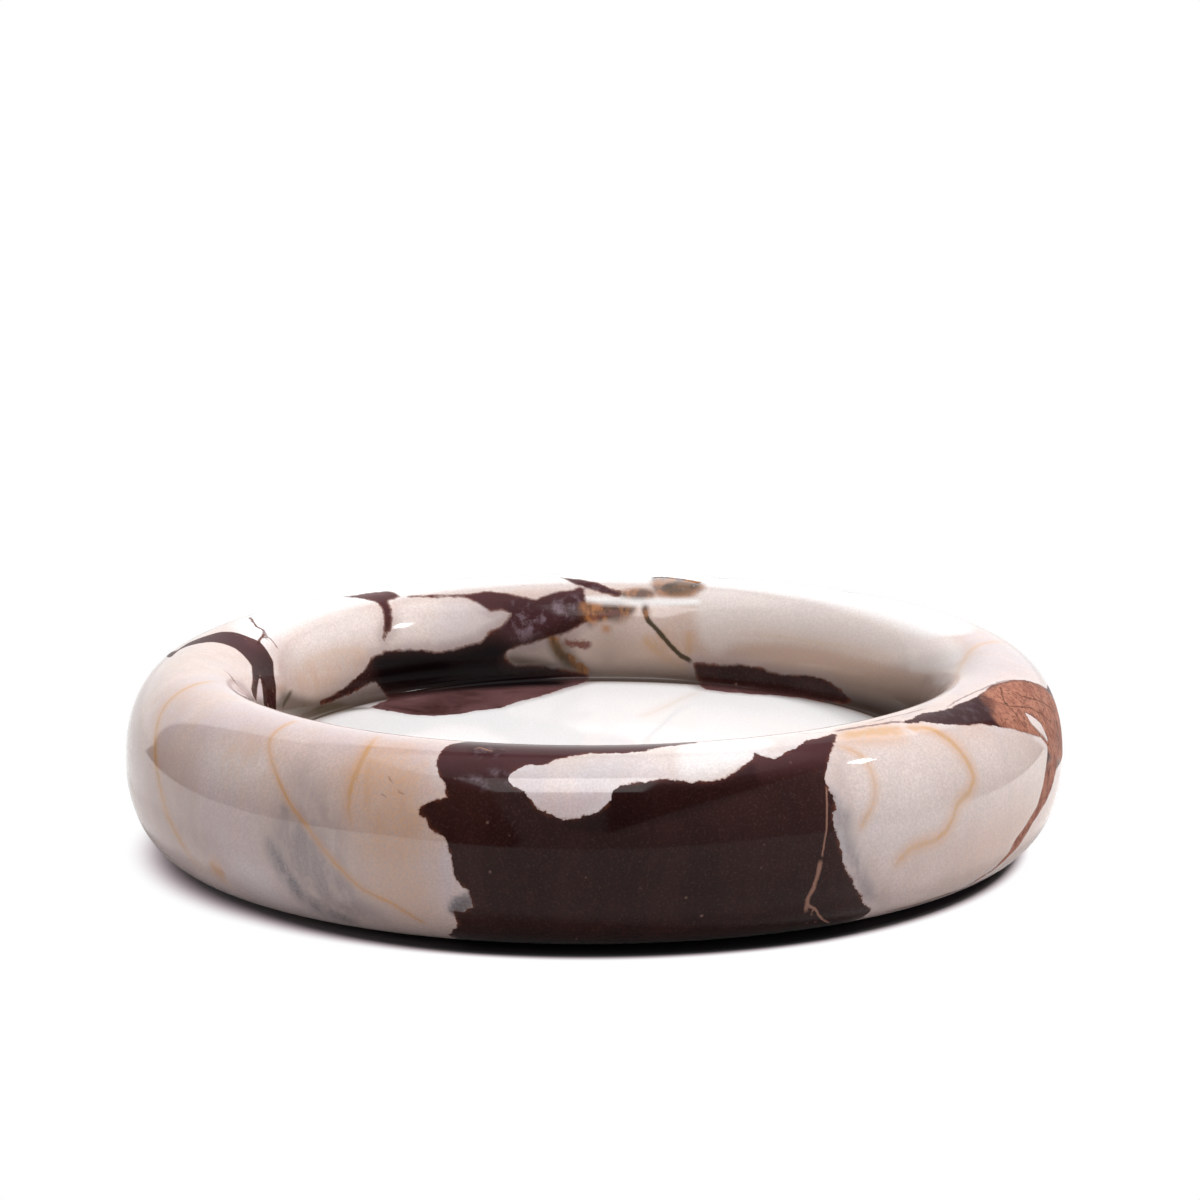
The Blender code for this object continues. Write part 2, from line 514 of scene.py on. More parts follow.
def stone_profile():
    """Return (radius, height) from the edge of the floor disc, over the rim, to the edge of the base disc."""
    floor_end = FOOT_RADIUS - FLOOR_FILLET
    flat = np.linspace(FLOOR_DISC_RADIUS, floor_end, FLAT_ROWS + 1)[:-1]
    rows = [(radius, FLOOR_HEIGHT) for radius in flat]
    for turn in np.linspace(0, math.pi / 2, FILLET_ROWS + 1)[:-1]:
        rows.append((floor_end + FLOOR_FILLET * math.sin(turn), FOOT_HEIGHT - FLOOR_FILLET * math.cos(turn)))
    inner = np.linspace(FOOT_AROUND, 90, QUARTER_ROWS + 1)[:-1]
    outer = np.linspace(90, 0, QUARTER_ROWS + 1)[:-1]
    lower = np.linspace(0, -90, QUARTER_ROWS + 1)
    rows += [rim_point(around) for around in (*inner, *outer, *lower)]
    flat = np.linspace(RIM_RADIUS, BASE_DISC_RADIUS, FLAT_ROWS + 1)[1:]
    return np.array(rows + [(radius, STONE_BASE) for radius in flat])


profile = stone_profile()
steps = np.hypot(*np.diff(profile, axis=0).T)
profile_along = FLOOR_DISC_RADIUS + np.concatenate([[0], np.cumsum(steps)])
WHOLE_LENGTH = profile_along[-1] + BASE_DISC_RADIUS
line_along = np.concatenate([[0], profile_along, [WHOLE_LENGTH]])
line_radius = np.concatenate([[0], profile[:, 0], [0]])
line_height = np.concatenate([[FLOOR_HEIGHT], profile[:, 1], [STONE_BASE]])
print("profile of", len(profile), "rows,", round(1000 * WHOLE_LENGTH), "mm from middle to middle")

# %% [markdown]
# The strip between the two flat discs is a stack of rings. The flat floor and the flat base are filled with
# even triangles, which a fan of long slivers to the middle would not give. The base is left open round the
# four seats, and each seat gets its wall and its roof.

# %% Lay out the flat discs
FLOOR_SPACING = 0.0015
BASE_SPACING = 0.0032
SEAT_SIDES = 48
SEAT_CLEARANCE = 0.0004
PAD_NODES = [name for name in sorted(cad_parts) if name.startswith("felt_pad_")]


def box_middle(node):
    """Return the middle of a node's box."""
    low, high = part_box(node)
    return (low + high) / 2


def seat_size():
    """Return the radius and the roof's height of a pad's seat, from the pad and the adhesive over it."""
    low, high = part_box(PAD_NODES[0])
    glue_low, glue_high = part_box(PAD_NODES[0].replace("felt_pad", "pad_adhesive"))
    return (high.x - low.x) / 2 + SEAT_CLEARANCE, glue_high.z + (glue_low.z - high.z)


def circle_places(middle, radius):
    """Return the corners of a seat's outline."""
    places = []
    for step in range(SEAT_SIDES):
        turn = 2 * math.pi * step / SEAT_SIDES
        places.append(Vector((middle.x + radius * math.cos(turn), middle.y + radius * math.sin(turn))))
    return places


def even_places(radius, spacing, holes):
    """Return the corners of even triangles inside a circle, clear of its edge and of its holes."""
    row_height = spacing * math.sqrt(3) / 2
    rows = int(radius / row_height)
    places = []
    for row in range(-rows, rows + 1):
        for column in range(-rows - 1, rows + 2):
            place = Vector(((column + 0.5 * (row % 2)) * spacing, row * row_height))
            near_hole = any((place - middle.xy).length < size + spacing / 2 for middle, size in holes)
            if place.length < radius - spacing / 2 and not near_hole:
                places.append(place)
    return places


SEAT_RADIUS, SEAT_ROOF = seat_size()
print("seats", round(2 * SEAT_RADIUS / MM, 1), "mm across, roof", round(SEAT_ROOF / MM, 1), "mm up")

# %% [markdown]
# A class gathers the points and the faces. Even triangles come from a Delaunay filling, which keeps the rim's
# ring and the seats' outlines as borders.

# %% Gather the stone's points and faces
RING_STEPS = 720
WELD_DISTANCE = 1e-7


class StoneMesh:
    """The stone's vertices, with how far along the profile each lies, and its faces."""

    def __init__(self):
        self.points = []
        self.alongs = []
        self.faces = []

    def add_point(self, x, y, height, along):
        self.points.append((x, y, height))
        self.alongs.append(along)
        return len(self.points) - 1

    def add_ring(self, radius, height, along):
        """Add a ring of points that starts at the front and goes round to the right."""
        ring = []
        for step in range(RING_STEPS):
            turn = 2 * math.pi * step / RING_STEPS
            ring.append(self.add_point(radius * math.sin(turn), -radius * math.cos(turn), height, along))
        return ring

    def join_rings(self, first, second):
        for step in range(len(first)):
            after = (step + 1) % len(first)
            self.faces.append((first[step], second[step], second[after], first[after]))

    def fill_disc(self, edge, height, spacing, along_of, holes=()):
        """Fill a ring with even triangles, leaving round holes, and return the ring of each hole."""
        radius = math.hypot(*self.points[edge[0]][:2])
        flat = [Vector(self.points[index][:2]) for index in edge]
        loops = []
        for middle, size in holes:
            loops.append(list(range(len(flat), len(flat) + SEAT_SIDES)))
            flat += circle_places(middle, size)
        flat += even_places(radius, spacing, holes)
        borders = [(loop[step - 1], loop[step]) for loop in loops for step in range(len(loop))]
        places, _, triangles, sources, *_ = delaunay_2d_cdt(flat, borders, [], 0, WELD_DISTANCE)
        indices = []
        for place, originals in zip(places, sources):
            if originals and originals[0] < len(edge):
                indices.append(edge[originals[0]])
            else:
                indices.append(self.add_point(place.x, place.y, height, along_of(place.length)))
        for triangle in triangles:
            middle = sum((places[corner] for corner in triangle), Vector((0, 0))) / len(triangle)
            if not any((middle - hole.xy).length < size for hole, size in holes):
                self.faces.append(tuple(indices[corner] for corner in triangle))
        found = {original: index for index, originals in zip(indices, sources) for original in originals}
        return [[found[index] for index in loop] for loop in loops]


print("a ring has", RING_STEPS, "points")

# %% [markdown]
# Now the stone is put together: the rings, the floor, the base with its four holes, and the seats.

# %% Turn the profile and fill the discs
def turn_stone():
    """Build the closed stone: the turned strip, the floor, the base and the four pad seats."""
    stone = StoneMesh()
    rings = [stone.add_ring(*row, along) for row, along in zip(profile.tolist(), profile_along.tolist())]
    for first, second in zip(rings, rings[1:]):
        stone.join_rings(first, second)
    stone.fill_disc(rings[0], FLOOR_HEIGHT, FLOOR_SPACING, lambda radius: radius)
    holes = [(box_middle(node), SEAT_RADIUS) for node in PAD_NODES]
    seats = stone.fill_disc(rings[-1], STONE_BASE, BASE_SPACING, lambda radius: WHOLE_LENGTH - radius, holes)
    for seat in seats:
        roof = [stone.add_point(*stone.points[index][:2], SEAT_ROOF, stone.alongs[index]) for index in seat]
        stone.join_rings(seat, roof)
        stone.faces.append(tuple(roof))
    return stone


stone = turn_stone()
stone_points = np.array(stone.points)
stone_along = np.array(stone.alongs)
stone_ring = np.degrees(np.arctan2(stone_points[:, 0], -stone_points[:, 1]))
triangle_count = sum(len(face) - 2 for face in stone.faces)
print("stone of", len(stone.points), "points and", triangle_count, "triangles")

# %% [markdown]
# ## A map of the stone
# To draw the pattern, the surface needs coordinates. `ring` counts degrees round the tray from the front,
# positive to the right. `along` is the distance along the profile from the middle of the floor. Any place of
# the picture becomes such a pair by casting a ray from the camera onto the stone. Places that the picture
# doesn't show are given directly, in degrees round the rim's section, where 180 is the foot of the inner
# wall, 90 the top, 0 the outermost line and -90 the edge of the base.

# %% Find places through the camera
PICTURE_STONE_MIDDLE = Vector((600, 760))
PIXEL_STEP = 0.5
stone_tree = BVHTree.FromPolygons(stone.points, stone.faces)


def along_at(radius, height):
    """Return how far along the profile a radius and height lie."""
    starts = np.stack([line_radius[:-1], line_height[:-1]], 1)
    reach = np.diff(np.stack([line_radius, line_height], 1), axis=0)
    share = ((np.array([radius, height]) - starts) * reach).sum(1) / (reach ** 2).sum(1)
    share = np.clip(share, 0, 1)
    away = np.hypot(*(starts + reach * share[:, None] - [radius, height]).T)
    nearest = int(away.argmin())
    return line_along[nearest] + share[nearest] * (line_along[nearest + 1] - line_along[nearest])


def seen(*pixels):
    """Return the map places under places in the picture. One just off the stone is drawn in to it."""
    places = []
    for pixel in pixels:
        spot = Vector(pixel)
        hit = None
        while hit is None:
            offset = (spot - Vector((PICTURE_MIDDLE, PICTURE_MIDDLE))) / FOCAL_PIXELS
            hit = stone_tree.ray_cast(eye, forward + picture_right * offset.x - picture_up * offset.y)[0]
            spot += (PICTURE_STONE_MIDDLE - spot).normalized() * PIXEL_STEP
        ring = math.degrees(math.atan2(hit.x, -hit.y))
        places.append((ring, along_at(math.hypot(hit.x, hit.y), hit.z)))
    return places


print("the picture's middle lies at ring and along", seen((PICTURE_MIDDLE, 800)))

# %% [markdown]
# The hidden sides need their own three ways of naming a place: on the rim's section, on the floor and on the
# base. A last helper turns map places back into points in space, where distances are true.

# %% Name places that the camera doesn't see
def on_rim(*places):
    """Return map places from degrees round the tray and degrees round the rim's section."""
    return [(ring, along_at(*rim_point(around))) for ring, around in places]


def on_floor(*places):
    """Return map places from degrees round the tray and a radius on its floor."""
    return [(ring, radius) for ring, radius in places]


def beneath(*places):
    """Return map places from degrees round the tray and a radius on its base."""
    return [(ring, WHOLE_LENGTH - radius) for ring, radius in places]


def to_space(places):
    """Return the points in space of an array of map places."""
    turn = np.radians(places[:, 0])
    radius = np.interp(places[:, 1], line_along, line_radius)
    height = np.interp(places[:, 1], line_along, line_height)
    return np.stack([radius * np.sin(turn), -radius * np.cos(turn), height], 1)


print("the rim's top lies", round(on_rim((0, 90))[0][1] / MM, 1), "mm along")

# %% [markdown]
# ## Drawing on the stone
# A mark on the stone starts as a few places on the map, joined by a smooth curve. The curve runs through each
# place, and a roundness says whether it swings through or goes nearly straight, as the broken edges of stone
# do.

# %% Join places by a curve
LINE_SPACING = 0.0004
MAP_SCALE = math.radians(1) * RIM_RADIUS
MAP_UNITS = np.array([MAP_SCALE, 1])


def smooth_line(places, closed, roundness=1.0):
    """Return close-set map places on a curve through the given ones, from 0, straight, to 1, round."""
    places = np.array(places, float)
    places[:, 0] = np.degrees(np.unwrap(np.radians(places[:, 0])))
    knots = places * MAP_UNITS
    if closed:
        knots = np.vstack([knots[-1:], knots, knots[:2]])
    else:
        knots = np.vstack([2 * knots[0] - knots[1], knots, 2 * knots[-1] - knots[-2]])
    gaps = np.maximum(np.hypot(*np.diff(knots, axis=0).T), 1e-6) ** 0.5
    times = np.concatenate([[0], np.cumsum(gaps)])
    slopes = (knots[2:] - knots[:-2]) / (times[2:] - times[:-2])[:, None]
    straight = np.diff(knots, axis=0) / gaps[:, None]
    line = []
    for index in range(1, len(knots) - 2):
        gap = gaps[index]
        count = max(2, math.ceil(gap ** 2 / LINE_SPACING))
        share = np.linspace(0, 1, count, endpoint=False)[:, None]
        leave = roundness * slopes[index - 1] + (1 - roundness) * straight[index]
        arrive = roundness * slopes[index] + (1 - roundness) * straight[index]
        start = (1 + 2 * share) * (1 - share) ** 2 * knots[index] + share * (1 - share) ** 2 * gap * leave
        end = (3 - 2 * share) * share ** 2 * knots[index + 1] - share ** 2 * (1 - share) * gap * arrive
        line.append(start + end)
    if not closed:
        line.append(knots[-2:-1])
    return np.vstack(line) / MAP_UNITS


print("degrees round the tray are worth", round(MAP_SCALE / MM, 2), "mm each")

# %% [markdown]
# What the finish needs at each vertex is not a colour but a distance: how deep it lies inside a patch, or how
# far it is to the side of a vein. Distances change evenly from vertex to vertex, so the edge that the finish
# later draws where the distance passes zero stays sharp between the vertices, and noise can make it
# crystalline.

# %% Measure distances to a curve
REACH = 0.014


def near_vertices(line):
    """Return the vertices within reach of a line, and their map places, unwrapped to lie round it."""
    middle = (line[:, 0].min() + line[:, 0].max()) / 2
    ring = (stone_ring - middle + 180) % 360 - 180 + middle
    margin = REACH / MAP_SCALE
    chosen = (ring > line[:, 0].min() - margin) & (ring < line[:, 0].max() + margin)
    chosen &= (stone_along > line[:, 1].min() - REACH) & (stone_along < line[:, 1].max() + REACH)
    chosen = np.flatnonzero(chosen)
    return chosen, np.stack([ring[chosen], stone_along[chosen]], 1)


def measure(line, chosen, places):
    """Return each vertex's distance to the line, its side (1 is left), and its share of the way along."""
    in_space = to_space(line)
    tree = KDTree(len(in_space))
    for index, spot in enumerate(in_space):
        tree.insert(spot, index)
    tree.balance()
    spots = stone_points[chosen]
    nearest = np.array([tree.find(spot)[1] for spot in spots])
    best = np.full(len(spots), np.inf)
    side = np.ones(len(spots))
    along = np.zeros(len(spots))
    for step in (-1, 0):
        first = np.clip(nearest + step, 0, len(line) - 2)
        start, reach = in_space[first], in_space[first + 1] - in_space[first]
        share = np.clip(((spots - start) * reach).sum(1) / (reach ** 2).sum(1), 0, 1)
        away = np.linalg.norm(spots - start - reach * share[:, None], axis=1)
        direction = (line[first + 1] - line[first]) * MAP_UNITS
        offset = (places - line[first]) * MAP_UNITS
        left = np.sign(direction[:, 0] * offset[:, 1] - direction[:, 1] * offset[:, 0])
        closer = away < best
        best = np.where(closer, away, best)
        side = np.where(closer, left, side)
        along = np.where(closer, (first + share) / (len(line) - 1), along)
    return best, side, along


def is_inside(line, places):
    """Return which map places a closed line surrounds."""
    inside = np.zeros(len(places), bool)
    x, y = places.T
    for (x_start, y_start), (x_end, y_end) in zip(line, np.roll(line, -1, axis=0)):
        if y_start != y_end:
            crossing = x_start + (y - y_start) * (x_end - x_start) / (y_end - y_start)
            inside ^= ((y_start > y) != (y_end > y)) & (x < crossing)
    return inside


print("distances are measured up to", round(REACH / MM), "mm away")

# %% [markdown]
# Marks come in three kinds. A patch has an edge, so it is a depth. A soft patch is a stain without an edge,
# so it fades in and out. Veins of one kind share one record of the nearest vein at each vertex, because a
# finish has no use for two veins in one place.

# %% Make patches and veins
STRAIGHT_EDGES = 0.3
ROUND_EDGES = 0.8
FAR_IN_WIDTHS = 99.0


def patch(places, roundness=STRAIGHT_EDGES):
    """Return how deep each vertex lies inside a closed outline: metres, and less than zero outside."""
    line = smooth_line(places, True, roundness)
    line = np.vstack([line, line[:1]])
    chosen, spots = near_vertices(line)
    away = measure(line, chosen, spots)[0]
    depth = np.full(len(stone_points), -REACH)
    depth[chosen] = np.minimum(away, REACH) * np.where(is_inside(line[:-1], spots), 1, -1)
    return depth


def soft_patches(marks):
    """Return the strongest of soft patches, from name: (fade in mm, strength, outline)."""
    covers = [np.zeros(len(stone_points))]
    for fade, strength, outline in marks.values():
        share = np.clip(patch(outline, 1.0) / (2 * fade * MM) + 0.5, 0, 1)
        covers.append(strength * share * share * (3 - 2 * share))
    return np.maximum.reduce(covers)


def veins(marks):
    """Return side, distance and strength of the nearest vein, from name: (mm, strength, fade, places)."""
    nearest = np.tile([FAR_IN_WIDTHS, FAR_IN_WIDTHS, 0.0], (len(stone_points), 1))
    for width, strength, fade, places in marks.values():
        line = smooth_line(places, False)
        chosen, spots = near_vertices(line)
        away, side, along = measure(line, chosen, spots)
        away = away / (width * MM)
        fading = strength * np.clip(along / fade, 0, 1) * np.clip((1 - along) / fade, 0, 1)
        closer = away < nearest[chosen, 1]
        nearest[chosen[closer]] = np.stack([away * side, away, fading], 1)[closer]
    return np.clip(nearest, -FAR_IN_WIDTHS, FAR_IN_WIDTHS)


def percent_over(values, limit):
    """Return how many percent of the vertices a mark covers with more than a limit."""
    return round(100 * float((values > limit).mean()), 1)


print("drawing on", len(stone_points), "vertices")

# %% [markdown]
# ## The brown patches
# The dark mineral filled the gaps between broken pieces of cream stone, so its patches have ragged outlines,
# run on from the rim to the floor and the base, and enclose islands of cream. The biggest faces the front. A
# pale island shaped like a boat cuts into it from the top of the rim.

# %% Outline the front patch and its boat
FRONT_OUTLINE = (
    seen(
        (456, 743), (441, 752), (438, 768), (445, 785), (448, 797), (438, 801), (428, 802), (419, 812),
        (426, 819), (433, 829), (448, 843), (452, 858), (455, 877), (471, 893), (472, 907), (464, 912),
        (455, 912), (460, 924), (450, 934),
    )
    + on_rim((-17, -84))
    + beneath((-12, 0.079), (0, 0.071), (12, 0.066), (24, 0.072), (33, 0.081))
    + seen(
        (871, 911), (862, 903), (861, 894), (852, 883), (845, 868), (839, 847), (835, 830), (831, 814),
        (835, 806), (834, 797), (827, 790), (826, 776), (829, 757), (833, 745), (835, 734),
    )
    + on_rim((31, 108), (10, 122), (-6, 135), (-16, 108))
)
BOAT_OUTLINE = (
    seen(
        (509, 779), (514, 771), (523, 765.5), (545, 763), (561, 757.5), (589, 753), (621, 753), (646, 751),
        (666, 746), (697, 743),
    )
    + on_rim((14, 112), (16, 140), (34, 140), (36, 100))
    + seen(
        (834, 733), (822, 737), (804, 742), (794, 748), (783, 754), (773, 758.5), (763, 756), (754, 751.6),
        (752, 760), (742, 768), (731, 775), (721, 781), (708, 783), (683, 780), (651, 781), (627, 784),
        (613, 790), (609, 805), (597, 812), (579, 818), (564, 818.6), (549, 815), (537.5, 807.5),
        (525, 792), (512.5, 787),
    )
)
front_depth = np.minimum(patch(FRONT_OUTLINE), -patch(BOAT_OUTLINE))
print("front patch:", percent_over(front_depth, 0), "percent of the stone")

# %% [markdown]
# At the right, a wedge of brown runs up from the rim's top, broadens, and tails off down the side round a
# crescent of cream. At the left, a band drops over the rim into the hollow, with a narrow gap near its end.

# %% Outline the wedge and the band
WEDGE_OUTLINE = (
    seen(
        (893, 723), (908, 720), (924, 713), (944, 710), (957, 705), (973, 698.5), (983, 692),
        (992.5, 685.5), (1012, 680), (1028, 681), (1041, 685.5), (1047, 689.5),
    )
    + on_rim((91, 39), (95, 36), (99, 26), (106, 20), (113, 9), (105, 8), (99, 11), (94, 2), (87, 0))
    + seen(
        (1056, 770), (1050, 793), (1042, 808), (1032, 824), (1019, 845), (1004, 861), (989, 873),
        (973, 883), (960, 889), (976, 880), (994, 868), (1009, 852), (1014, 842), (1029, 820), (1038, 804),
        (1045.5, 772), (1047.5, 747), (1041, 737.5), (1025, 732.5), (1012, 728), (999, 727), (983, 724),
        (970, 725), (953, 725), (937, 724), (924, 721.5), (908, 723),
    )
)
CRESCENT_OUTLINE = seen((1025, 712.5), (1034, 717), (1041, 724), (1048, 741), (1040, 734), (1031, 724))
BAND_OUTLINE = (
    seen(
        (276, 700), (276, 688), (274, 676), (273, 662), (268, 652), (260, 642), (246, 636), (232, 632),
        (220, 632), (206, 636), (190, 642), (176, 651),
    )
    + on_rim((-104, 50))
    + seen(
        (170, 658), (180, 649.5), (196, 644), (210, 642), (224, 644), (236, 649), (246, 658), (252, 666),
        (252.5, 680), (251.5, 689),
    )
    + on_rim((-89.5, 146), (-91, 156))
    + on_floor((-95, 0.067), (-100, 0.066))
    + on_rim((-103, 170))
)
BAND_GAP_OUTLINE = (
    seen((260, 675), (261.5, 683), (263, 694), (263.5, 703))
    + on_rim((-96, 166), (-91, 164))
    + seen((256.5, 701), (257, 692), (258.5, 682))
)
crescent_depth = patch(CRESCENT_OUTLINE)
wedge_depth = np.minimum(patch(WEDGE_OUTLINE), -crescent_depth)
band_depth = np.minimum(patch(BAND_OUTLINE), -patch(BAND_GAP_OUTLINE))
print("wedge and band:", percent_over(wedge_depth, 0), "and", percent_over(band_depth, 0), "percent")

# %% [markdown]
# Inside the hollow, the largest mass runs along the back wall and out over the floor. A small cap lies on the
# rim beside it, a strip crosses the rim's top, and a lens of brown lies at the foot of the right wall.

# %% Outline the brown inside the hollow
MASS_OUTLINE = seen(
    (408, 596.5), (440, 595), (469, 594), (491, 591.7), (507, 593.8), (525, 597.5), (536, 599.7),
    (547, 595), (560, 591.7), (571, 591), (580, 587.7), (584, 588.5), (585, 604), (590, 612), (588, 620),
    (576, 628), (560, 635), (544, 640), (523, 645), (508, 651), (504, 657), (512, 664), (533, 666),
    (560, 668), (587, 674), (590, 677), (580, 684), (560, 690), (541, 696), (525, 700), (512, 704),
    (501, 708), (483, 710), (459, 714), (435, 716), (413, 715), (397, 712), (371, 708), (389, 698),
    (376, 682), (352, 693), (333, 701), (320, 706), (320, 701), (331, 696), (347, 685), (363, 672),
    (373, 658), (384, 652), (408, 650), (427, 650), (437, 652), (453, 649), (469, 645), (480, 642),
    (491, 632), (501, 626), (509, 618), (511, 613), (501, 610), (491, 612), (480, 605), (472, 600),
    (464, 597.8), (440, 597.4),
)
CAP_OUTLINE = seen(
    (344, 597), (368, 593), (389, 591), (400, 596), (396, 598), (387, 601), (391, 609), (392, 614),
    (391, 629), (387, 635), (384, 640), (383.5, 634), (385, 618), (383, 609), (377, 602), (360, 598.5),
)
STRIP_OUTLINE = seen(
    (560, 577.5), (565, 578), (581, 580), (597, 583), (611, 589), (621, 592), (619, 597), (603, 593),
    (587, 588), (571, 582.5),
)
LENS_OUTLINE = seen(
    (694, 663), (716, 664), (735, 664), (757, 667), (770, 672), (787, 675), (804, 675), (822, 679),
    (841, 689), (851, 701), (843, 704), (820, 701), (804, 698), (772, 695), (751, 694), (728, 692),
    (704, 689), (696, 676),
)
hollow_outlines = (MASS_OUTLINE, CAP_OUTLINE, STRIP_OUTLINE, LENS_OUTLINE)
hollow_depth = np.maximum.reduce([patch(outline) for outline in hollow_outlines])
print("brown in the hollow:", percent_over(hollow_depth, 0), "percent")

# %% [markdown]
# The picture doesn't show the outside at the back or the base. Their patches are made up in the same style, a
# little rounder, and one of them runs round under the stone as the front patch does.

# %% Outline the brown at the back and below
OUTER_BACK_OUTLINE = on_rim(
    (128, 66), (133, 78), (140, 82), (146, 73), (152, 76), (160, 84), (167, 78), (170, 64), (175, 58),
    (176, 44), (183, 40), (189, 30), (187, 18), (191, 8), (184, -2), (185, -14), (179, -22), (180, -36),
    (170, -40), (164, -52), (156, -44), (150, -40), (150, -24), (143, -18), (140, -4), (131, -6), (124, 6),
    (125, 22), (119, 36), (122, 54),
)
ISLAND_OUTLINE = on_rim(
    (139, 50), (144, 60), (151, 57), (156, 50), (163, 48), (162, 34), (166, 24), (157, 15), (151, 20),
    (145, 14), (143, 28), (137, 36),
)
OUTER_LEFT_OUTLINE = (
    on_rim(
        (-158, 38), (-151, 44), (-147, 34), (-140, 32), (-141, 18), (-134, 8), (-137, -6), (-143, -16),
        (-139, -30), (-141, -48), (-136, -60), (-144, -76),
    )
    + beneath((-142, 0.074), (-147, 0.064), (-156, 0.061), (-164, 0.055), (-170, 0.062), (-174, 0.073))
    + on_rim(
        (-171, -76), (-173, -62), (-164, -52), (-163, -36), (-169, -22), (-164, -8), (-157, 4), (-162, 16),
        (-166, 28),
    )
)
BASE_OUTLINE = (
    beneath((20, 0.052), (48, 0.044), (80, 0.030), (130, 0.022), (175, 0.034), (200, 0.050), (188, 0.064))
    + beneath((150, 0.060), (110, 0.048), (70, 0.060), (40, 0.066))
)
outer_back_depth = np.minimum(patch(OUTER_BACK_OUTLINE, ROUND_EDGES), -patch(ISLAND_OUTLINE, ROUND_EDGES))
outer_left_depth = patch(OUTER_LEFT_OUTLINE, ROUND_EDGES)
hidden_depth = np.maximum.reduce([outer_back_depth, outer_left_depth, patch(BASE_OUTLINE)])
marks = {"brown": np.maximum.reduce([front_depth, wedge_depth, band_depth, hollow_depth, hidden_depth])}
print("brown covers", percent_over(marks["brown"], 0), "percent")

# %% [markdown]
# ## The veins
# Iron has stained fine ochre veins into the cream. They wander, split and fade, so each has a width, a
# strength and a share of its length over which it fades at both ends.

# %% Draw the ochre veins
vein_marks = {}
vein_marks["ochre"] = veins({
    "left_edge": (1, 1, 0.12, seen(
        (222, 682), (201, 683), (185, 689), (171, 699), (160, 716), (155, 744), (158, 775), (165, 808),
        (177, 835), (201, 870))),
    "left_flank": (0.58, 0.9, 0.04, seen(
        (300, 720), (284, 726), (273, 735), (269, 745), (272, 762), (279, 781), (289, 802), (308, 828),
        (329, 856), (352, 880), (366, 891), (389, 902), (406, 912), (430, 926))),
    "beside_front": (0.8, 0.95, 0.3, seen(
        (390, 735), (378, 737), (367, 750), (358, 768), (351, 788), (349, 806), (352, 832))),
    "beside_front_ghost": (1, 0.3, 0.3, seen((372, 752), (366, 780), (368, 806), (372, 826))),
    "right_loop": (1, 1.3, 0.05, seen(
        (837, 738), (856, 734), (880, 730), (911, 728), (930, 729), (945, 737), (963, 755), (973, 775),
        (971, 789), (959, 803), (952, 820), (940, 837), (915, 847), (900, 860), (892, 872))),
    "right_inner_loop": (0.7, 1, 0.12, seen(
        (835, 746), (848, 749), (862, 757), (871, 770), (875, 788), (872, 806), (863, 823), (859, 835))),
    "right_rim": (1, 0.7, 0.12, seen(
        (1018, 648), (1007, 643), (992, 642), (979, 645), (967, 655), (957, 674), (953, 686))),
    "right_wall": (0.8, 0.35, 0.12, seen((733, 634), (777, 636), (820, 643), (855, 649), (900, 662))),
    "floor_right": (1.2, 0.8, 0.12, seen((703, 690), (681, 699), (658, 710), (638, 718))),
    "by_the_gold": (1.3, 1, 0.12, seen((643, 634), (651, 645), (664, 656), (680, 666), (693, 672))),
    "by_the_gold_ghost": (1.6, 0.7, 0.12, seen((656, 630), (668, 643), (680, 655), (692, 664))),
    "wall_drip": (1, 1, 0.12, seen((689, 630), (689, 657))),
    "left_knot": (1.7, 1.3, 0.2, seen((209, 862), (216, 869), (226, 876))),
    "right_rim_stain": (2.1, 1.2, 0.2, seen((837, 737), (862, 733), (905, 729))),
    "left_wall": (1.2, 0.3, 0.12, seen((300, 668), (322, 656), (345, 650), (366, 652))),
    "outer_right": (0.9, 0.8, 0.12, on_rim((108, 60), (112, 30), (106, 0), (110, -40))),
    "outer_left": (1, 0.8, 0.12, on_rim((-118, 84), (-124, 50), (-120, 20), (-128, -20), (-122, -60))),
    "outer_back": (1, 0.8, 0.12, (
        on_rim((-178, 20), (168, -50))
        + beneath((160, 0.06), (120, 0.02), (-60, 0.03), (-40, 0.08))
    )),
    "base": (0.9, 0.6, 0.12, (
        on_rim((50, -50))
        + beneath((40, 0.07), (0, 0.05), (-60, 0.06))
        + on_rim((-70, -60))
    )),
    "floor": (0.9, 0.35, 0.12, on_floor((-60, 0.060), (-40, 0.030), (30, 0.018), (80, 0.034))),
})
print("ochre veins reach", int((vein_marks["ochre"][:, 1] < 1).sum()), "vertices")

# %% [markdown]
# Tan cracks, healed long ago, cross the front patch. Gold marks the back rim, brown twigs branch off the
# patches, and thin dark lines follow the foot of the walls.

# %% Draw the cracks and the gold veins
vein_marks["cracks"] = veins({
    "front": (0.36, 0.9, 0.05, seen((826, 786), (827, 806), (826.5, 827), (824, 845), (820, 866))),
    "front_foot": (0.8, 1, 0.05, seen((821, 860), (815, 884), (808, 899), (806, 912))),
    "front_branch": (0.46, 1, 0.05, seen((806.5, 904), (815, 909), (822, 919), (830, 923))),
    "front_top": (0.5, 0.8, 0.2, seen((474, 749), (481, 747.5), (487, 750), (494, 751))),
    "crescent": (0.45, 0.9, 0.05, seen((1024, 713), (1031, 724), (1046, 740))),
    "outer_back": (0.3, 1, 0.12, on_rim((152, -36), (158, -10), (166, 12), (170, 40))),
})
vein_marks["gold_veins"] = veins({
    "beside_the_mass": (1.8, 1, 0.03, seen(
        (552, 635), (555, 642), (560, 650), (568, 658), (577, 666), (588, 674))),
    "back_rim": (1.1, 1, 0.05, seen((650, 578), (664, 577.5), (684, 580), (702, 583.5))),
})
print("cracks reach", int((vein_marks["cracks"][:, 1] < 1).sum()), "vertices")

# %% [markdown]
# The twigs are brown threads that leave the patches, and three tiny flecks beside the front. The net of
# threads in the copper makes it look crackled.

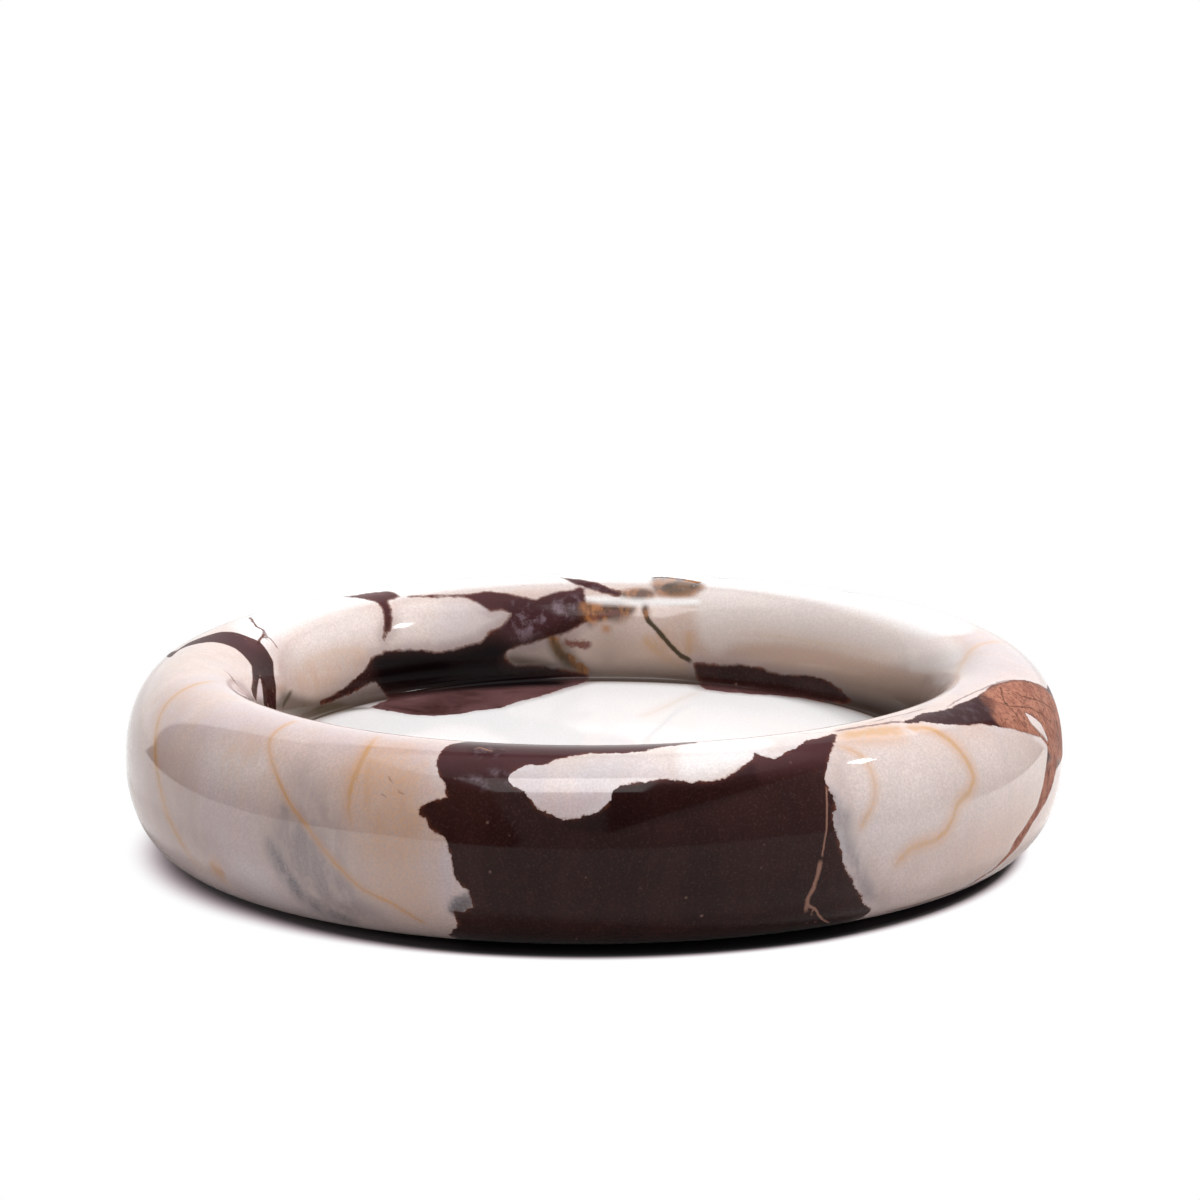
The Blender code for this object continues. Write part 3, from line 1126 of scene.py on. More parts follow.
# %% Draw the brown twigs and the lines
vein_marks["brown_veins"] = veins({
    "back_bar": (1.3, 0.9, 0.12, seen((563, 641), (571, 644), (593, 644))),
    "left_rim_twig": (0.6, 1, 0.05, seen(
        (249, 617), (256, 626), (263, 630), (264, 635), (260, 640), (257, 645))),
    "left_rim_branch": (0.5, 0.7, 0.05, seen((263, 630), (268, 637), (273, 642), (278, 649))),
    "left_hook": (0.4, 0.8, 0.1, seen((222, 669), (230, 675), (238, 686)) + on_rim((-80, 132))),
    "gold_border": (1.1, 0.75, 0.12, seen((584, 612), (594, 617), (608, 615), (622, 611))),
    "first_fleck": (0.35, 0.5, 0.12, seen((382, 794), (386, 797))),
    "second_fleck": (0.3, 0.5, 0.12, seen((388, 776), (392, 783))),
    "third_fleck": (0.3, 0.4, 0.12, seen((398, 790), (404, 795))),
    "copper_long": (0.4, 0.8, 0.1, seen((1010, 690), (1024, 697), (1040, 701), (1054, 712))),
    "copper_steep": (0.4, 0.8, 0.1, seen((1000, 686), (1004, 700), (1014, 712), (1026, 730))),
    "copper_low": (0.3, 0.8, 0.1, seen((990, 700), (1010, 706), (1030, 708), (1052, 724))),
    "copper_short": (0.3, 0.8, 0.1, seen((1020, 682), (1030, 690), (1038, 706))),
})
vein_marks["rim_lines"] = veins({
    "right_front": (0.8, 0.9, 0.05, seen((834, 731.5), (856, 727.5), (880, 724), (902, 721))),
    "wedge_top": (0.5, 0.7, 0.12, seen((946, 708), (960, 699), (978, 691), (1000, 682), (1015, 680))),
    "wedge_side": (0.5, 0.6, 0.12, seen((870, 722), (900, 715), (928, 708))),
})
vein_marks["dark_lines"] = veins({
    "back_wall": (0.9, 1.3, 0.04, seen(
        (644, 607), (647, 618), (656, 629), (667, 641), (677, 652), (692, 662))),
    "front_foot": (0.5, 0.9, 0.12, seen((960, 889), (938, 897), (910, 906), (880, 913))),
    "boat_end": (0.2, 0.6, 0.12, seen((797, 733.6), (812, 733.2), (827, 732))),
    "left_foot_hook": (1, 0.8, 0.2, seen((293, 690), (288, 697), (284, 704), (282, 711))),
    "left_foot_end": (0.8, 0.5, 0.2, seen((276, 699), (270, 703), (266, 706))),
    "left_foot_line": (1, 0.7, 0.2, seen((312, 711), (322, 709), (333, 706), (346, 704))),
    "outer_left": (0.4, 0.7, 0.12, on_rim((-112, 30), (-116, 6), (-110, -30))),
})
print("kinds of vein:", list(vein_marks))

# %% [markdown]
# ## Stains and clouds
# Round the ochre veins the cream is stained: a soft blush where the iron is strong, and a wider warm tone
# that only tints it. Each stain is a soft patch with a fade in millimetres, a strength and an outline.

# %% Draw the blushes and the warm tones
marks["blush"] = soft_patches({
    "left_edge": (5, 0.8, seen((222, 742), (256, 738), (268, 758), (262, 784), (232, 784))),
    "left_flank": (8, 0.9, seen(
        (352, 772), (372, 748), (404, 750), (428, 790), (428, 842), (392, 856), (358, 836))),
    "left_shoulder": (5, 0.45, seen(
        (150, 700), (170, 690), (215, 690), (222, 700), (180, 712), (160, 730))),
    "right_rim": (3, 1, seen((837, 735), (868, 731), (905, 728), (896, 738), (862, 741), (840, 742))),
    "left_wall": (4, 1, seen(
        (296, 674), (312, 662), (340, 656), (368, 654), (360, 668), (330, 684), (300, 688))),
    "right_flank": (6, 0.35, seen((940, 740), (962, 750), (974, 775), (960, 800), (950, 780))),
    "beside_front_foot": (6, 0.3, seen(
        (368, 850), (396, 846), (432, 880), (424, 906), (392, 900), (370, 880))),
    "outer_right": (12, 0.5, on_rim((100, 50), (118, 60), (124, 0), (104, -20))),
    "outer_left": (12, 0.5, on_rim((-112, 60), (-130, 60), (-132, -10), (-112, -30))),
})
marks["warm"] = soft_patches({
    "right_wall": (8, 1, seen(
        (700, 650), (740, 628), (800, 630), (860, 640), (920, 660), (930, 690), (880, 704), (800, 690),
        (740, 668))),
    "left_flank": (6, 1, seen(
        (352, 770), (372, 748), (404, 750), (430, 790), (428, 842), (404, 880), (366, 870), (350, 820))),
    "back_wall": (4, 0.6, seen((596, 640), (640, 640), (672, 660), (680, 672), (610, 674))),
    "left_edge": (6, 0.5, seen((150, 780), (186, 800), (210, 850), (190, 858), (160, 820))),
    "beside_front_foot": (6, 0.85, seen(
        (362, 850), (400, 846), (444, 884), (436, 916), (396, 906), (366, 882))),
    "outer_right": (12, 0.8, on_rim((60, 10), (80, 0), (120, -40), (70, -60), (50, -30))),
    "outer_left": (12, 0.6, on_rim((-60, 20), (-100, 0), (-130, -40), (-90, -60), (-60, -30))),
})
print("blushes cover", percent_over(marks["blush"], 0.2), "percent")

# %% [markdown]
# Clouds of blue-grey lie beside the brown and drift across the left flank; the one at the foot of the right
# wall is painted shade. A fainter lilac tone fills the cream between them.

# %% Draw the clouds
marks["cloud"] = soft_patches({
    "boat": (2, 0.25, seen(
        (512, 768), (560, 758), (620, 752), (646, 754), (636, 768), (606, 780), (560, 779), (520, 780))),
    "left_edge": (4, 0.06, seen(
        (150, 736), (176, 728), (214, 732), (222, 756), (200, 778), (168, 774), (152, 756))),
    "right_of_front": (3, 0.35, seen(
        (836, 745), (846, 758), (850, 800), (868, 850), (890, 902), (872, 906), (850, 868), (836, 800))),
    "left_foot_arc": (2.6, 1.25, seen(
        (268, 838), (277, 846), (287, 862), (299, 880), (315, 896), (335, 908), (356, 920), (350, 923),
        (326, 915), (305, 904), (289, 890), (278, 872), (269, 854))),
    "left_foot_haze": (5, 0.8, seen(
        (272, 836), (284, 814), (304, 806), (322, 830), (340, 862), (362, 896), (378, 916), (352, 920),
        (320, 904), (294, 880), (278, 856))),
    "left_foot": (6, 0.25, seen((150, 790), (190, 798), (216, 846), (200, 860), (166, 836))),
    "left_middle": (5, 0.25, seen((318, 836), (344, 846), (360, 872), (342, 878), (324, 862))),
    "right_rim": (4, 0.14, seen((958, 652), (1000, 640), (1042, 666), (1004, 676), (962, 682))),
    "right_foot": (8, 0.18, seen((860, 836), (900, 822), (920, 850), (890, 884), (868, 880))),
    "back_left_rim": (3, 0.14, seen((444, 604), (480, 604), (504, 614), (488, 630), (452, 634))),
    "left_wisp": (1.8, 0.9, seen((282, 806), (296, 808), (306, 820), (296, 822), (284, 816))),
    "left_veil": (5, 0.6, seen((300, 776), (312, 782), (330, 806), (340, 838), (326, 830), (306, 800))),
    "front_right_border": (2.2, 0.85, seen(
        (831, 788), (840, 796), (850, 812), (852, 830), (860, 850), (868, 872), (878, 896), (866, 903),
        (852, 884), (842, 862), (833, 838), (828, 812))),
    "front_right_knot": (1.6, 1, seen((838, 808), (849, 810), (850, 822), (840, 824))),
    "front_left_knot": (0.9, 1.8, seen(
        (452, 899), (462, 896), (470, 892), (472, 906), (462, 913), (450, 912))),
    "right_wall_end": (3, 0.6, seen((926, 678), (955, 682), (955, 694), (930, 694))),
    "left_wall_foot": (1.6, 0.8, seen((376, 683), (388, 698), (371, 706), (336, 708), (340, 700))),
    "mass_slope": (1.8, 0.9, seen(
        (463, 646), (492, 632), (508, 617), (512, 610), (500, 622), (486, 634), (466, 642), (440, 648),
        (440, 652))),
    "back_dot": (1.4, 0.5, seen((603, 656), (613, 656), (613, 664), (603, 664))),
    # Painted shade at the foot of the right wall.
    "right_wall_foot_painted_shade": (1.6, 0.9, seen(
        (846, 694), (866, 700), (902, 710), (904, 717), (880, 713), (852, 703))),
    "back_wall_foot": (1.6, 0.6, seen((506, 654), (530, 660), (560, 668), (533, 667), (510, 664))),
    "mass_border": (1.8, 0.6, seen((470, 646), (492, 630), (510, 616), (500, 612), (484, 628), (462, 640))),
    "outer_right": (8, 0.8, on_rim((128, 20), (118, 10), (116, -30), (126, -50), (134, -20))),
})
print("clouds cover", percent_over(marks["cloud"], 0.2), "percent")

# %% [markdown]
# Lilac is a cool tint of the cream, strongest in the boat and next to the brown, where a little of the dark
# mineral has spread.

# %% Draw the lilac tones
marks["lilac"] = soft_patches({
    "left_shoulder": (4, 0.55, seen(
        (160, 696), (200, 676), (250, 688), (330, 720), (440, 742), (430, 762), (330, 750), (230, 738),
        (160, 738))),
    "right_rim": (4, 0.8, seen((960, 640), (1005, 638), (1040, 672), (1004, 674), (955, 692))),
    "left_edge": (4, 0.6, seen(
        (104, 735), (112, 704), (130, 722), (146, 770), (162, 820), (150, 836), (118, 790))),
    "back_left_wall": (3, 0.8, seen(
        (444, 606), (480, 604), (506, 614), (490, 634), (460, 643), (432, 645))),
    "left_foot": (6, 0.45, seen(
        (126, 742), (170, 760), (250, 790), (262, 850), (310, 900), (350, 930), (280, 918), (200, 884),
        (140, 820))),
    "beside_front": (4, 0.8, seen((420, 852), (446, 848), (470, 894), (456, 915), (430, 890))),
    "front_border": (3, 0.7, seen((438, 752), (430, 790), (420, 800), (428, 770))),
    "left_band_gap": (1, 1, seen((257, 680), (264, 680), (266, 702), (255, 700))),
    "boat": (3, 0.85, seen(
        (514, 776), (560, 764), (640, 758), (660, 778), (612, 784), (606, 804), (566, 816), (536, 804))),
})
print("lilac covers", percent_over(marks["lilac"], 0.2), "percent")

# %% [markdown]
# The flat floor is painted near white: pale stone, and painted light for the strong light that falls on it.
# The rim's crown at the back is painted light too, and a streak along the back rim is a painted highlight of
# the soft box. Copper colours the end of the right wedge and its tail, but never the cream crescent.

# %% Draw the pale stone and the copper
PALE_FLOOR_END = FLOOR_DISC_RADIUS + 0.004
PALE_FADE = 0.003
CRESCENT_EDGE = 0.0004
marks["pale"] = soft_patches({
    "right_wall": (1.6, 0.36, seen(
        (700, 588), (695, 604), (696, 622), (702, 640), (716, 654), (740, 644), (800, 644), (860, 656),
        (920, 672), (960, 660), (940, 630), (860, 600), (760, 590))),
    "boat_right": (3, 0.24, seen(
        (620, 748), (697, 740), (760, 736), (838, 730), (800, 748), (740, 772), (640, 782), (606, 778))),
    "boat_left": (3, 0.22, seen((512, 768), (560, 758), (620, 750), (622, 780), (596, 790), (540, 786))),
    "boat_top": (3, 0.6, seen((686, 744), (760, 738), (776, 744), (750, 762), (704, 778), (676, 772))),
    # A painted highlight: the soft box's reflection along the back rim.
    "back_rim_painted_highlight": (0.8, 1, seen(
        (586, 597), (640, 598), (698, 599), (698, 604), (640, 605), (586, 603))),
    "left_flank": (6, 0.2, seen((212, 744), (262, 750), (264, 786), (214, 784))),
    "left_foot": (5, 0.14, seen((236, 862), (262, 866), (290, 900), (268, 902))),
    "back_left_wall": (4, 0.26, seen(
        (392, 612), (420, 598), (470, 602), (510, 616), (480, 642), (420, 652), (388, 650))),
    "left_wall": (6, 0.28, seen(
        (290, 660), (300, 620), (340, 602), (380, 608), (384, 640), (350, 656), (300, 670))),
    # Painted light: the rim's top at the back, paler where the light falls on it.
    "rim_crown_painted_light": (4, 1, on_rim(
        (-108, 118), (-140, 108), (-172, 104), (170, 104), (140, 112), (112, 120), (106, 96), (120, 78),
        (150, 72), (180, 72), (-150, 72), (-120, 80))),
    "right_flank": (8, 0.2, seen(
        (840, 745), (900, 730), (960, 735), (1040, 745), (1040, 790), (960, 830), (880, 860), (845, 830))),
})
# The whole floor is painted near white: pale stone, and painted light for the strong light on it.
marks["pale"] = np.maximum(marks["pale"], np.clip((PALE_FLOOR_END - stone_along) / PALE_FADE, 0, 1))
marks["copper"] = soft_patches({
    "wedge_end": (0.8, 1, (
        seen((980, 696), (993, 687), (1012, 681), (1041, 686), (1056, 698))
        + on_rim((92, 40), (118, 14), (90, -4))
        + seen((1054, 760), (1047, 748), (1041, 739), (1025, 733), (1004, 728), (992, 716))
    )),
    "right_tail": (1, 1, seen(
        (1057, 755), (1053, 793), (1036, 824), (1006, 863), (973, 884), (990, 864), (1029, 815),
        (1044, 770))),
    "outer_right": (3, 0.9, on_rim((118, 6), (126, 14), (130, -6), (124, -22))),
})
marks["copper"] *= np.clip(0.5 - crescent_depth / CRESCENT_EDGE, 0, 1)
print("pale stone covers", percent_over(marks["pale"], 0.5), "percent")

# %% [markdown]
# Gold, olive and purple grains colour small places near the brown, and the olive at the foot of the left wall
# is painted shade. The brown is nearly black in the right wedge, a painted reflection of the dark room below
# the boat, and painted shade at the foot of the back wall.

# %% Draw the gold, olive, mottled and deep places
marks["gold"] = soft_patches({
    "beside_the_mass": (1.2, 0.7, seen(
        (584, 614), (610, 614), (630, 612), (622, 622), (604, 621), (590, 626))),
    "bright_band": (1, 1, seen(
        (582, 603), (604, 604), (630, 606), (636, 609), (629, 617), (612, 619), (600, 622), (584, 621))),
    "back_dot": (1, 0.9, seen((603, 626), (609, 626), (609, 631), (603, 631))),
    "back_rim": (1, 0.75, seen(
        (652, 579), (666, 577.5), (690, 580), (704, 584), (703, 590), (690, 597), (664, 597), (654, 592))),
    "back_rim_end": (1, 0.8, seen((618, 594), (634, 588), (652, 590), (654, 597), (634, 599))),
    "line_top": (0.9, 1, seen((643, 606), (648, 606), (649, 616), (644, 616))),
    "left_foot": (1.2, 0.35, seen((274, 687), (282, 684), (286, 688), (278, 694))),
    "left_foot_right": (1.2, 0.35, seen((302, 706), (318, 704), (330, 702), (322, 708), (308, 710))),
    "outer_left": (3, 0.8, on_rim((-140, 34), (-146, 40), (-150, 28), (-144, 20))),
})
marks["olive"] = soft_patches({
    "back_wall": (1.4, 0.9, seen((548, 640), (558, 640), (566, 652), (580, 668), (568, 670), (556, 660))),
    "back_wall_foot": (1.4, 0.9, seen(
        (508, 656), (530, 658), (556, 664), (584, 673), (560, 669), (533, 667), (512, 665))),
    # Painted shade at the foot of the left wall, in the olive colour.
    "left_foot": (1.4, 0.75, seen(
        (272, 700), (284, 692), (300, 697), (320, 702), (345, 704), (372, 708), (345, 712), (312, 718),
        (284, 713))),
    "back_rim": (0.9, 0.6, seen((664, 585), (677, 581.5), (699, 585), (693, 592), (677, 596), (664, 593))),
    "gold_vein_foot": (1.2, 0.6, seen(
        (557, 642), (566, 645), (584, 664), (590, 673), (577, 666), (562, 652))),
})
marks["mottle"] = soft_patches({
    "back_mass": (1.8, 1, seen(
        (500, 622), (508, 606), (520, 601), (538, 603), (560, 598), (582, 596), (586, 604), (570, 618),
        (550, 628), (530, 636), (512, 642), (502, 636))),
    "back_strip": (1.2, 0.8, seen((562, 579), (581, 581), (600, 586), (618, 593), (603, 592), (585, 587))),
    "front_top": (1, 0.7, seen((470, 745), (503, 747), (500, 756), (473, 756))),
    "front_left": (0.9, 1, seen((462, 779), (474, 776), (488, 781), (487, 788), (470, 787))),
    "boat_tip": (0.9, 1, seen((488, 771), (499, 770), (513, 777), (526, 791), (513, 787), (499, 779))),
    "outer_back": (4, 0.9, on_rim((176, 30), (184, 26), (184, 4), (176, 6))),
    "right_wedge": (2, 0.5, seen((930, 713), (960, 706), (984, 696), (992, 712), (976, 723), (936, 722))),
})
marks["deep"] = soft_patches({
    # A painted reflection of the dark room, below the boat.
    "below_boat_painted_reflection": (1.2, 0.4, seen(
        (613, 790), (650, 783), (708, 784), (731, 777), (752, 764), (757, 775), (761, 789), (735, 798),
        (708, 808), (680, 817), (640, 827), (600, 834), (560, 826), (596, 814), (608, 806))),
    "right_wedge": (2, 0.3, seen(
        (900, 722), (944, 708), (980, 692), (992, 700), (996, 728), (970, 726), (930, 724))),
    # Painted shade at the foot of the back wall.
    "back_foot_painted_shade": (3, 1, seen(
        (373, 658), (408, 650), (453, 649), (491, 640), (512, 648), (505, 664), (560, 676), (560, 686),
        (391, 692), (376, 682))),
})
print("marks so far:", list(marks))

# %% [markdown]
# ## The dark corner
# Where the floor meets the wall, little light gets in, and the polish shows it darker still. The tone is
# painted: a broad shade up the wall and a dark foot, each with a strength and a reach that change round the
# tray. Both are given at a few degrees round it, from 0 at the front, and run evenly between them.

# %% Shade the wall
WALL_START = float(profile_along[FLAT_ROWS])
WALL_END = along_at(*rim_point(90))
JUST_OVER = 1e-5
wall_share = np.clip((stone_along - WALL_START) / (WALL_END - WALL_START), 0, 1)
turned_ring = stone_ring % 360


def round_tray(values):
    """Return a number at each vertex, from a table of degrees round the tray and numbers."""
    return np.interp(turned_ring, list(values), list(values.values()))


shade_reach = round_tray({80: 0.5, 95: 0.95, 200: 0.95, 220: 0.6, 265: 0.6, 280: 0.3})
shade_strength = round_tray({80: 0, 100: 0.75, 250: 0.8, 270: 0})
marks["shade"] = shade_strength * np.clip(1 - wall_share / shade_reach, 0, 1)
marks["shade"] *= stone_along > WALL_START + JUST_OVER
print("the wall starts", round(WALL_START / MM, 1), "mm along")

# %% [markdown]
# The foot is darkest at the very corner. At the right it reaches over the whole wall, and towards the back it
# sinks to a quarter of it.

# %% Darken the foot
SHADED_FLOOR = 0.0045
FLOOR_SHADE = 0.4
foot_reach = {80: 1.05, 92: 1.05, 100: 0.84, 110: 0.62, 120: 0.46, 132: 0.36, 150: 0.25, 280: 0.24}
foot_strength = round_tray({73: 0, 80: 1.5, 112: 1.35, 125: 1.25, 235: 1.25, 270: 0})
up_wall = np.clip(1 - wall_share / round_tray(foot_reach), 0, 1) ** 1.3
over_floor = FLOOR_SHADE * np.clip(1 - (WALL_START - stone_along) / SHADED_FLOOR, 0, 1) ** 1.5
foot = foot_strength * np.where(stone_along > WALL_START, up_wall, over_floor)
marks["foot"] = np.maximum(np.minimum(foot, 1), soft_patches({
    "beside_the_gold": (6, 0.25, seen(
        (588, 622), (600, 618), (624, 622), (628, 650), (622, 676), (596, 676), (590, 650))),
    "gold_vein_foot": (3, 0.36, seen(
        (506, 642), (540, 636), (574, 634), (578, 650), (560, 660), (530, 664), (510, 660))),
    "front_knot": (0.8, 0.5, seen((457, 902), (468, 895), (473, 906), (462, 914), (451, 912))),
}))
print("the foot darkens", percent_over(marks["foot"], 0.5), "percent")

# %% [markdown]
# ## Where the polish is dull and the edges calm
# Part of the right wall and a spot beside the left band hardly mirror the room, and the brown is matte at the
# far left and right. Nor is the edge of the brown ragged everywhere to the same degree: it is calm at the
# sides, and wild on the outside at the back and on the base.

# %% Hush the mirror
HUSHED_END = 0.95
HUSHED_FADE = 0.15
LEFT_AND_RIGHT = {52: 0, 62: 1, 100: 1, 110: 0, 228: 0, 236: 1, 284: 1, 292: 0}
hushed = round_tray({94: 0, 104: 0.6, 124: 0.6, 136: 0})
hushed = hushed * np.clip((HUSHED_END - wall_share) / HUSHED_FADE, 0, 1)
marks["hushed"] = np.maximum(hushed * (stone_along > WALL_START), soft_patches({
    "left_hook": (2, 0.5, seen((224, 672), (236, 674), (248, 684), (250, 698), (240, 692), (228, 688))),
}))
marks["matte"] = round_tray(LEFT_AND_RIGHT)
print("hushed over", percent_over(marks["hushed"], 0.3), "percent")

# %% [markdown]
# Calm counts from 1, a nearly smooth edge, through 0, a ragged one, to below zero, where the noise is made
# stronger.

# %% Calm the edges
SIDE_START = along_at(*rim_point(70))
BASE_EDGE = along_at(*rim_point(-80))
SIDE_FADE = 0.004
WILDNESS = 1.6
inner_side = np.clip((SIDE_START - stone_along) / SIDE_FADE + 1, 0, 1)
outer_back_share = round_tray({104: 0, 116: 1, 226: 1, 240: 0})
wild = np.maximum((1 - inner_side) * outer_back_share, np.clip((stone_along - BASE_EDGE) / SIDE_FADE, 0, 1))
calm = np.maximum.reduce([
    round_tray({228: 0, 236: 1, 284: 1, 292: 0}),
    round_tray({52: 0, 62: 0.8, 100: 0.8, 110: 0}),
    round_tray({110: 0, 130: 0.4, 220: 0.4, 228: 0}),
])
marks["calm"] = calm * (1 - wild) - WILDNESS * wild
print("marks on the stone:", len(marks))

# %% [markdown]
# ## The stone's body
# The mesh gets a map for baking: the front and the back half of the turned strip, one above the other, and
# the floor and the base beside each other.

# %% Lay out the bake map
STRIP_LENGTH = math.pi * RIM_RADIUS
STRIP_WIDTH = profile_along[-1] - profile_along[0]
MAP_GAP = 0.004
FLOOR_MAP_SCALE = 0.8
BASE_MAP_SCALE = 0.5
FLAT_TOP = MAP_GAP + 2 * (STRIP_WIDTH + MAP_GAP)


def bake_places(middles, places, points):
    """Return where each face corner lies on the bake map, in metres before it is scaled to the square."""
    flat_floor = (middles[:, 2] > FLOOR_HEIGHT - 1e-5) & (np.hypot(*middles[:, :2].T) < FLOOR_DISC_RADIUS)
    base_side = (middles[:, 2] < SEAT_ROOF + 1e-5) & (np.hypot(*middles[:, :2].T) < BASE_DISC_RADIUS)
    ring_middle = np.degrees(np.arctan2(middles[:, 0], -middles[:, 1]))
    behind = np.abs(ring_middle) > 90
    start = np.where(behind, 90, -90)
    turned = (places[:, 0] - ring_middle + 180) % 360 - 180 + ring_middle
    offset = np.where(behind, turned % 360, turned) - start
    across = MAP_GAP + offset * math.radians(1) * RIM_RADIUS
    up = MAP_GAP + places[:, 1] - profile_along[0] + np.where(behind, STRIP_WIDTH + MAP_GAP, 0)
    floor_half = FLOOR_DISC_RADIUS * FLOOR_MAP_SCALE
    base_half = BASE_DISC_RADIUS * BASE_MAP_SCALE
    across = np.where(flat_floor, MAP_GAP + floor_half + points[:, 0] * FLOOR_MAP_SCALE, across)
    up = np.where(flat_floor, FLAT_TOP + floor_half + points[:, 1] * FLOOR_MAP_SCALE, up)
    base_start = 3 * MAP_GAP + 2 * floor_half + base_half
    across = np.where(base_side, base_start + points[:, 0] * BASE_MAP_SCALE, across)
    up = np.where(base_side, FLAT_TOP + base_half + points[:, 1] * BASE_MAP_SCALE, up)
    return np.stack([across, up], 1)


def add_bake_map(mesh):
    """Lay each face corner on the bake map."""
    corner_points = np.zeros(len(mesh.loops), int)
    mesh.loops.foreach_get("vertex_index", corner_points)
    sizes = np.zeros(len(mesh.polygons), int)
    mesh.polygons.foreach_get("loop_total", sizes)
    middles = np.zeros(len(mesh.polygons) * 3)
    mesh.polygons.foreach_get("center", middles)
    middles = np.repeat(middles.reshape(-1, 3), sizes, axis=0)
    places = np.stack([stone_ring, stone_along], 1)[corner_points]
    flat = bake_places(middles, places, stone_points[corner_points])
    flat /= max(flat.max(0).max(), STRIP_LENGTH) + MAP_GAP
    mesh.uv_layers.new(name="OFBake").uv.foreach_set("vector", flat.astype(np.float32).ravel())
    print("bake map reaches", [round(float(value), 3) for value in flat.max(0)])


print("half of the strip is", round(STRIP_LENGTH / MM), "by", round(float(STRIP_WIDTH) / MM), "mm")

# %% [markdown]
# The finished body stands in for the packed one and rides on the tray's one body. Smooth shading makes the
# rim one sweep, and the edges of the seats stay crisp.

# %% Make the marble piece
CRISP_ANGLE = math.radians(35)


def marble_mesh():
    """Return the marble's mesh with its drawn distances and its bake map."""
    mesh = bpy.data.meshes.new("marble_body")
    mesh.from_pydata(stone.points, [], stone.faces)
    builder = bmesh.new()
    builder.from_mesh(mesh)
    bmesh.ops.recalc_face_normals(builder, faces=builder.faces)
    builder.to_mesh(mesh)
    builder.free()
    for name, values in marks.items():
        mesh.attributes.new(name, "FLOAT", "POINT").data.foreach_set("value", values.astype(np.float32))
    for name, values in vein_marks.items():
        vectors = mesh.attributes.new(name, "FLOAT_VECTOR", "POINT").data
        vectors.foreach_set("vector", values.astype(np.float32).ravel())
    add_bake_map(mesh)
    mesh.shade_smooth()
    mesh.set_sharp_from_angle(angle=CRISP_ANGLE)
    return mesh


marble = add_object("marble_body", marble_mesh())
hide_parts("marble_tray")
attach(marble, "root")
print("marble body with", len(marble.data.vertices), "vertices")

# %% [markdown]
# ## The grain of the stone
# All the stone's colours are shaken by the same few noises, from clouds some centimetres wide to crystals of
# half a millimetre. Two of them are stretched along the bedding, the slanted direction in which the stone was
# once laid down, so streaks and veils run together right through the tray.

# %% Set up the noises
BEDDING_TILT = (0.5, 0.7, 0.3)
BEDDING_STRETCH = (1.0, 1.0, 0.28)
marble_finish, place = new_finish("polished_marble")
bedding = place.node("ShaderNodeMapping", {}, {
    "Vector": place, "Rotation": BEDDING_TILT, "Scale": BEDDING_STRETCH,
})
broad = noise(place, 22, 5, 0.6, 0.3)
patchy = noise(place, 60, 5, 0.6, 0.5)
streak = noise(bedding, 75, 6, 0.62, 0.4)
ragged = noise(place, 190, 3, 0.6)
veil = noise(bedding, 260, 4, 0.6)
fine = noise(place, 420, 5, 0.65)
crystals = noise(place, 900, 4, 0.7)
grain = noise(place, 2000, 3, 0.7)
print("noises:", len(marble_finish.node_tree.nodes), "nodes")

# %% [markdown]
# The drawn marks come back in the finish as attributes. A vein's core is where its side distance, shaken by
# the fine noise, is less than about half its width, so its two edges waver. The edge of the brown is shaken
# by three noises, and is a little softer towards the back.

# %% Read the drawn marks
BEHIND_SPAN = (0.02, 0.07)
TOP_SPAN = (0.034, 0.0395)
SHARP_BLUR = 0.05
BLUR_BEHIND = 0.45
CALMING = 0.75


def drawn(name, output=2):
    """Return a mark that was drawn on the stone."""
    return place.node("ShaderNodeAttribute", {"attribute_name": name}, {}, output)


def vein_core(name, shaking):
    """Return how strongly the core of one kind of vein covers."""
    side, away, strength = split(drawn(name, 1))
    side = side + (fine - 0.5) * shaking
    return side.rise(-0.9, -0.2) * side.rise(0.9, 0.2) * away.rise(2.0, 1.4) * strength


shake = (ragged - 0.5) * (2.0 * MM) + (fine - 0.5) * (1.8 * MM) + (crystals - 0.5) * (0.9 * MM)
depth = drawn("brown") + shake * (1 - drawn("calm") * CALMING)
_, backward, up_from_table = split(place)
behind = backward.rise(*BEHIND_SPAN)
on_top = up_from_table.rise(*TOP_SPAN)
blur = (behind * BLUR_BEHIND + SHARP_BLUR) * MM
covered = (depth / blur).rise(-1, 1)
crack = vein_core("cracks", 1.4)
twig = vein_core("brown_veins", 2.6)
dark_line = vein_core("dark_lines", 1.0)
print("marks read with", len(marble_finish.node_tree.nodes), "nodes so far")

# %% [markdown]
# ## The cream
# The colour is laid in the order in which the stone grew. Cream comes first, with grey streaks and tan
# patches, then the tones that were drawn on it, from lilac to the pale tone, which on the floor and the rim's
# crown is painted light and on the back rim a painted highlight. The two numbers of a `rise` say over what
# span of its noise a coat comes in, and the factor after it how fully it covers.

# %% Mix the cream
CREAM = (0.72, 0.555, 0.495, 1)
CREAM_GREY = (0.56, 0.445, 0.43, 1)
CREAM_TAN = (0.58, 0.42, 0.34, 1)
CREAM_LILAC = (0.60, 0.50, 0.545, 1)
CREAM_WARM = (0.64, 0.41, 0.29, 1)
CREAM_PALE = (0.945, 0.945, 0.955, 1)
BLUSH = (0.66, 0.37, 0.21, 1)
CLOUD = (0.20, 0.175, 0.19, 1)


def lay(colour, coats):
    """Lay coats over a colour in turn, each given as how much of it covers and its own colour."""
    for cover, coat in coats:
        colour = cover.paint(colour, coat)
    return colour


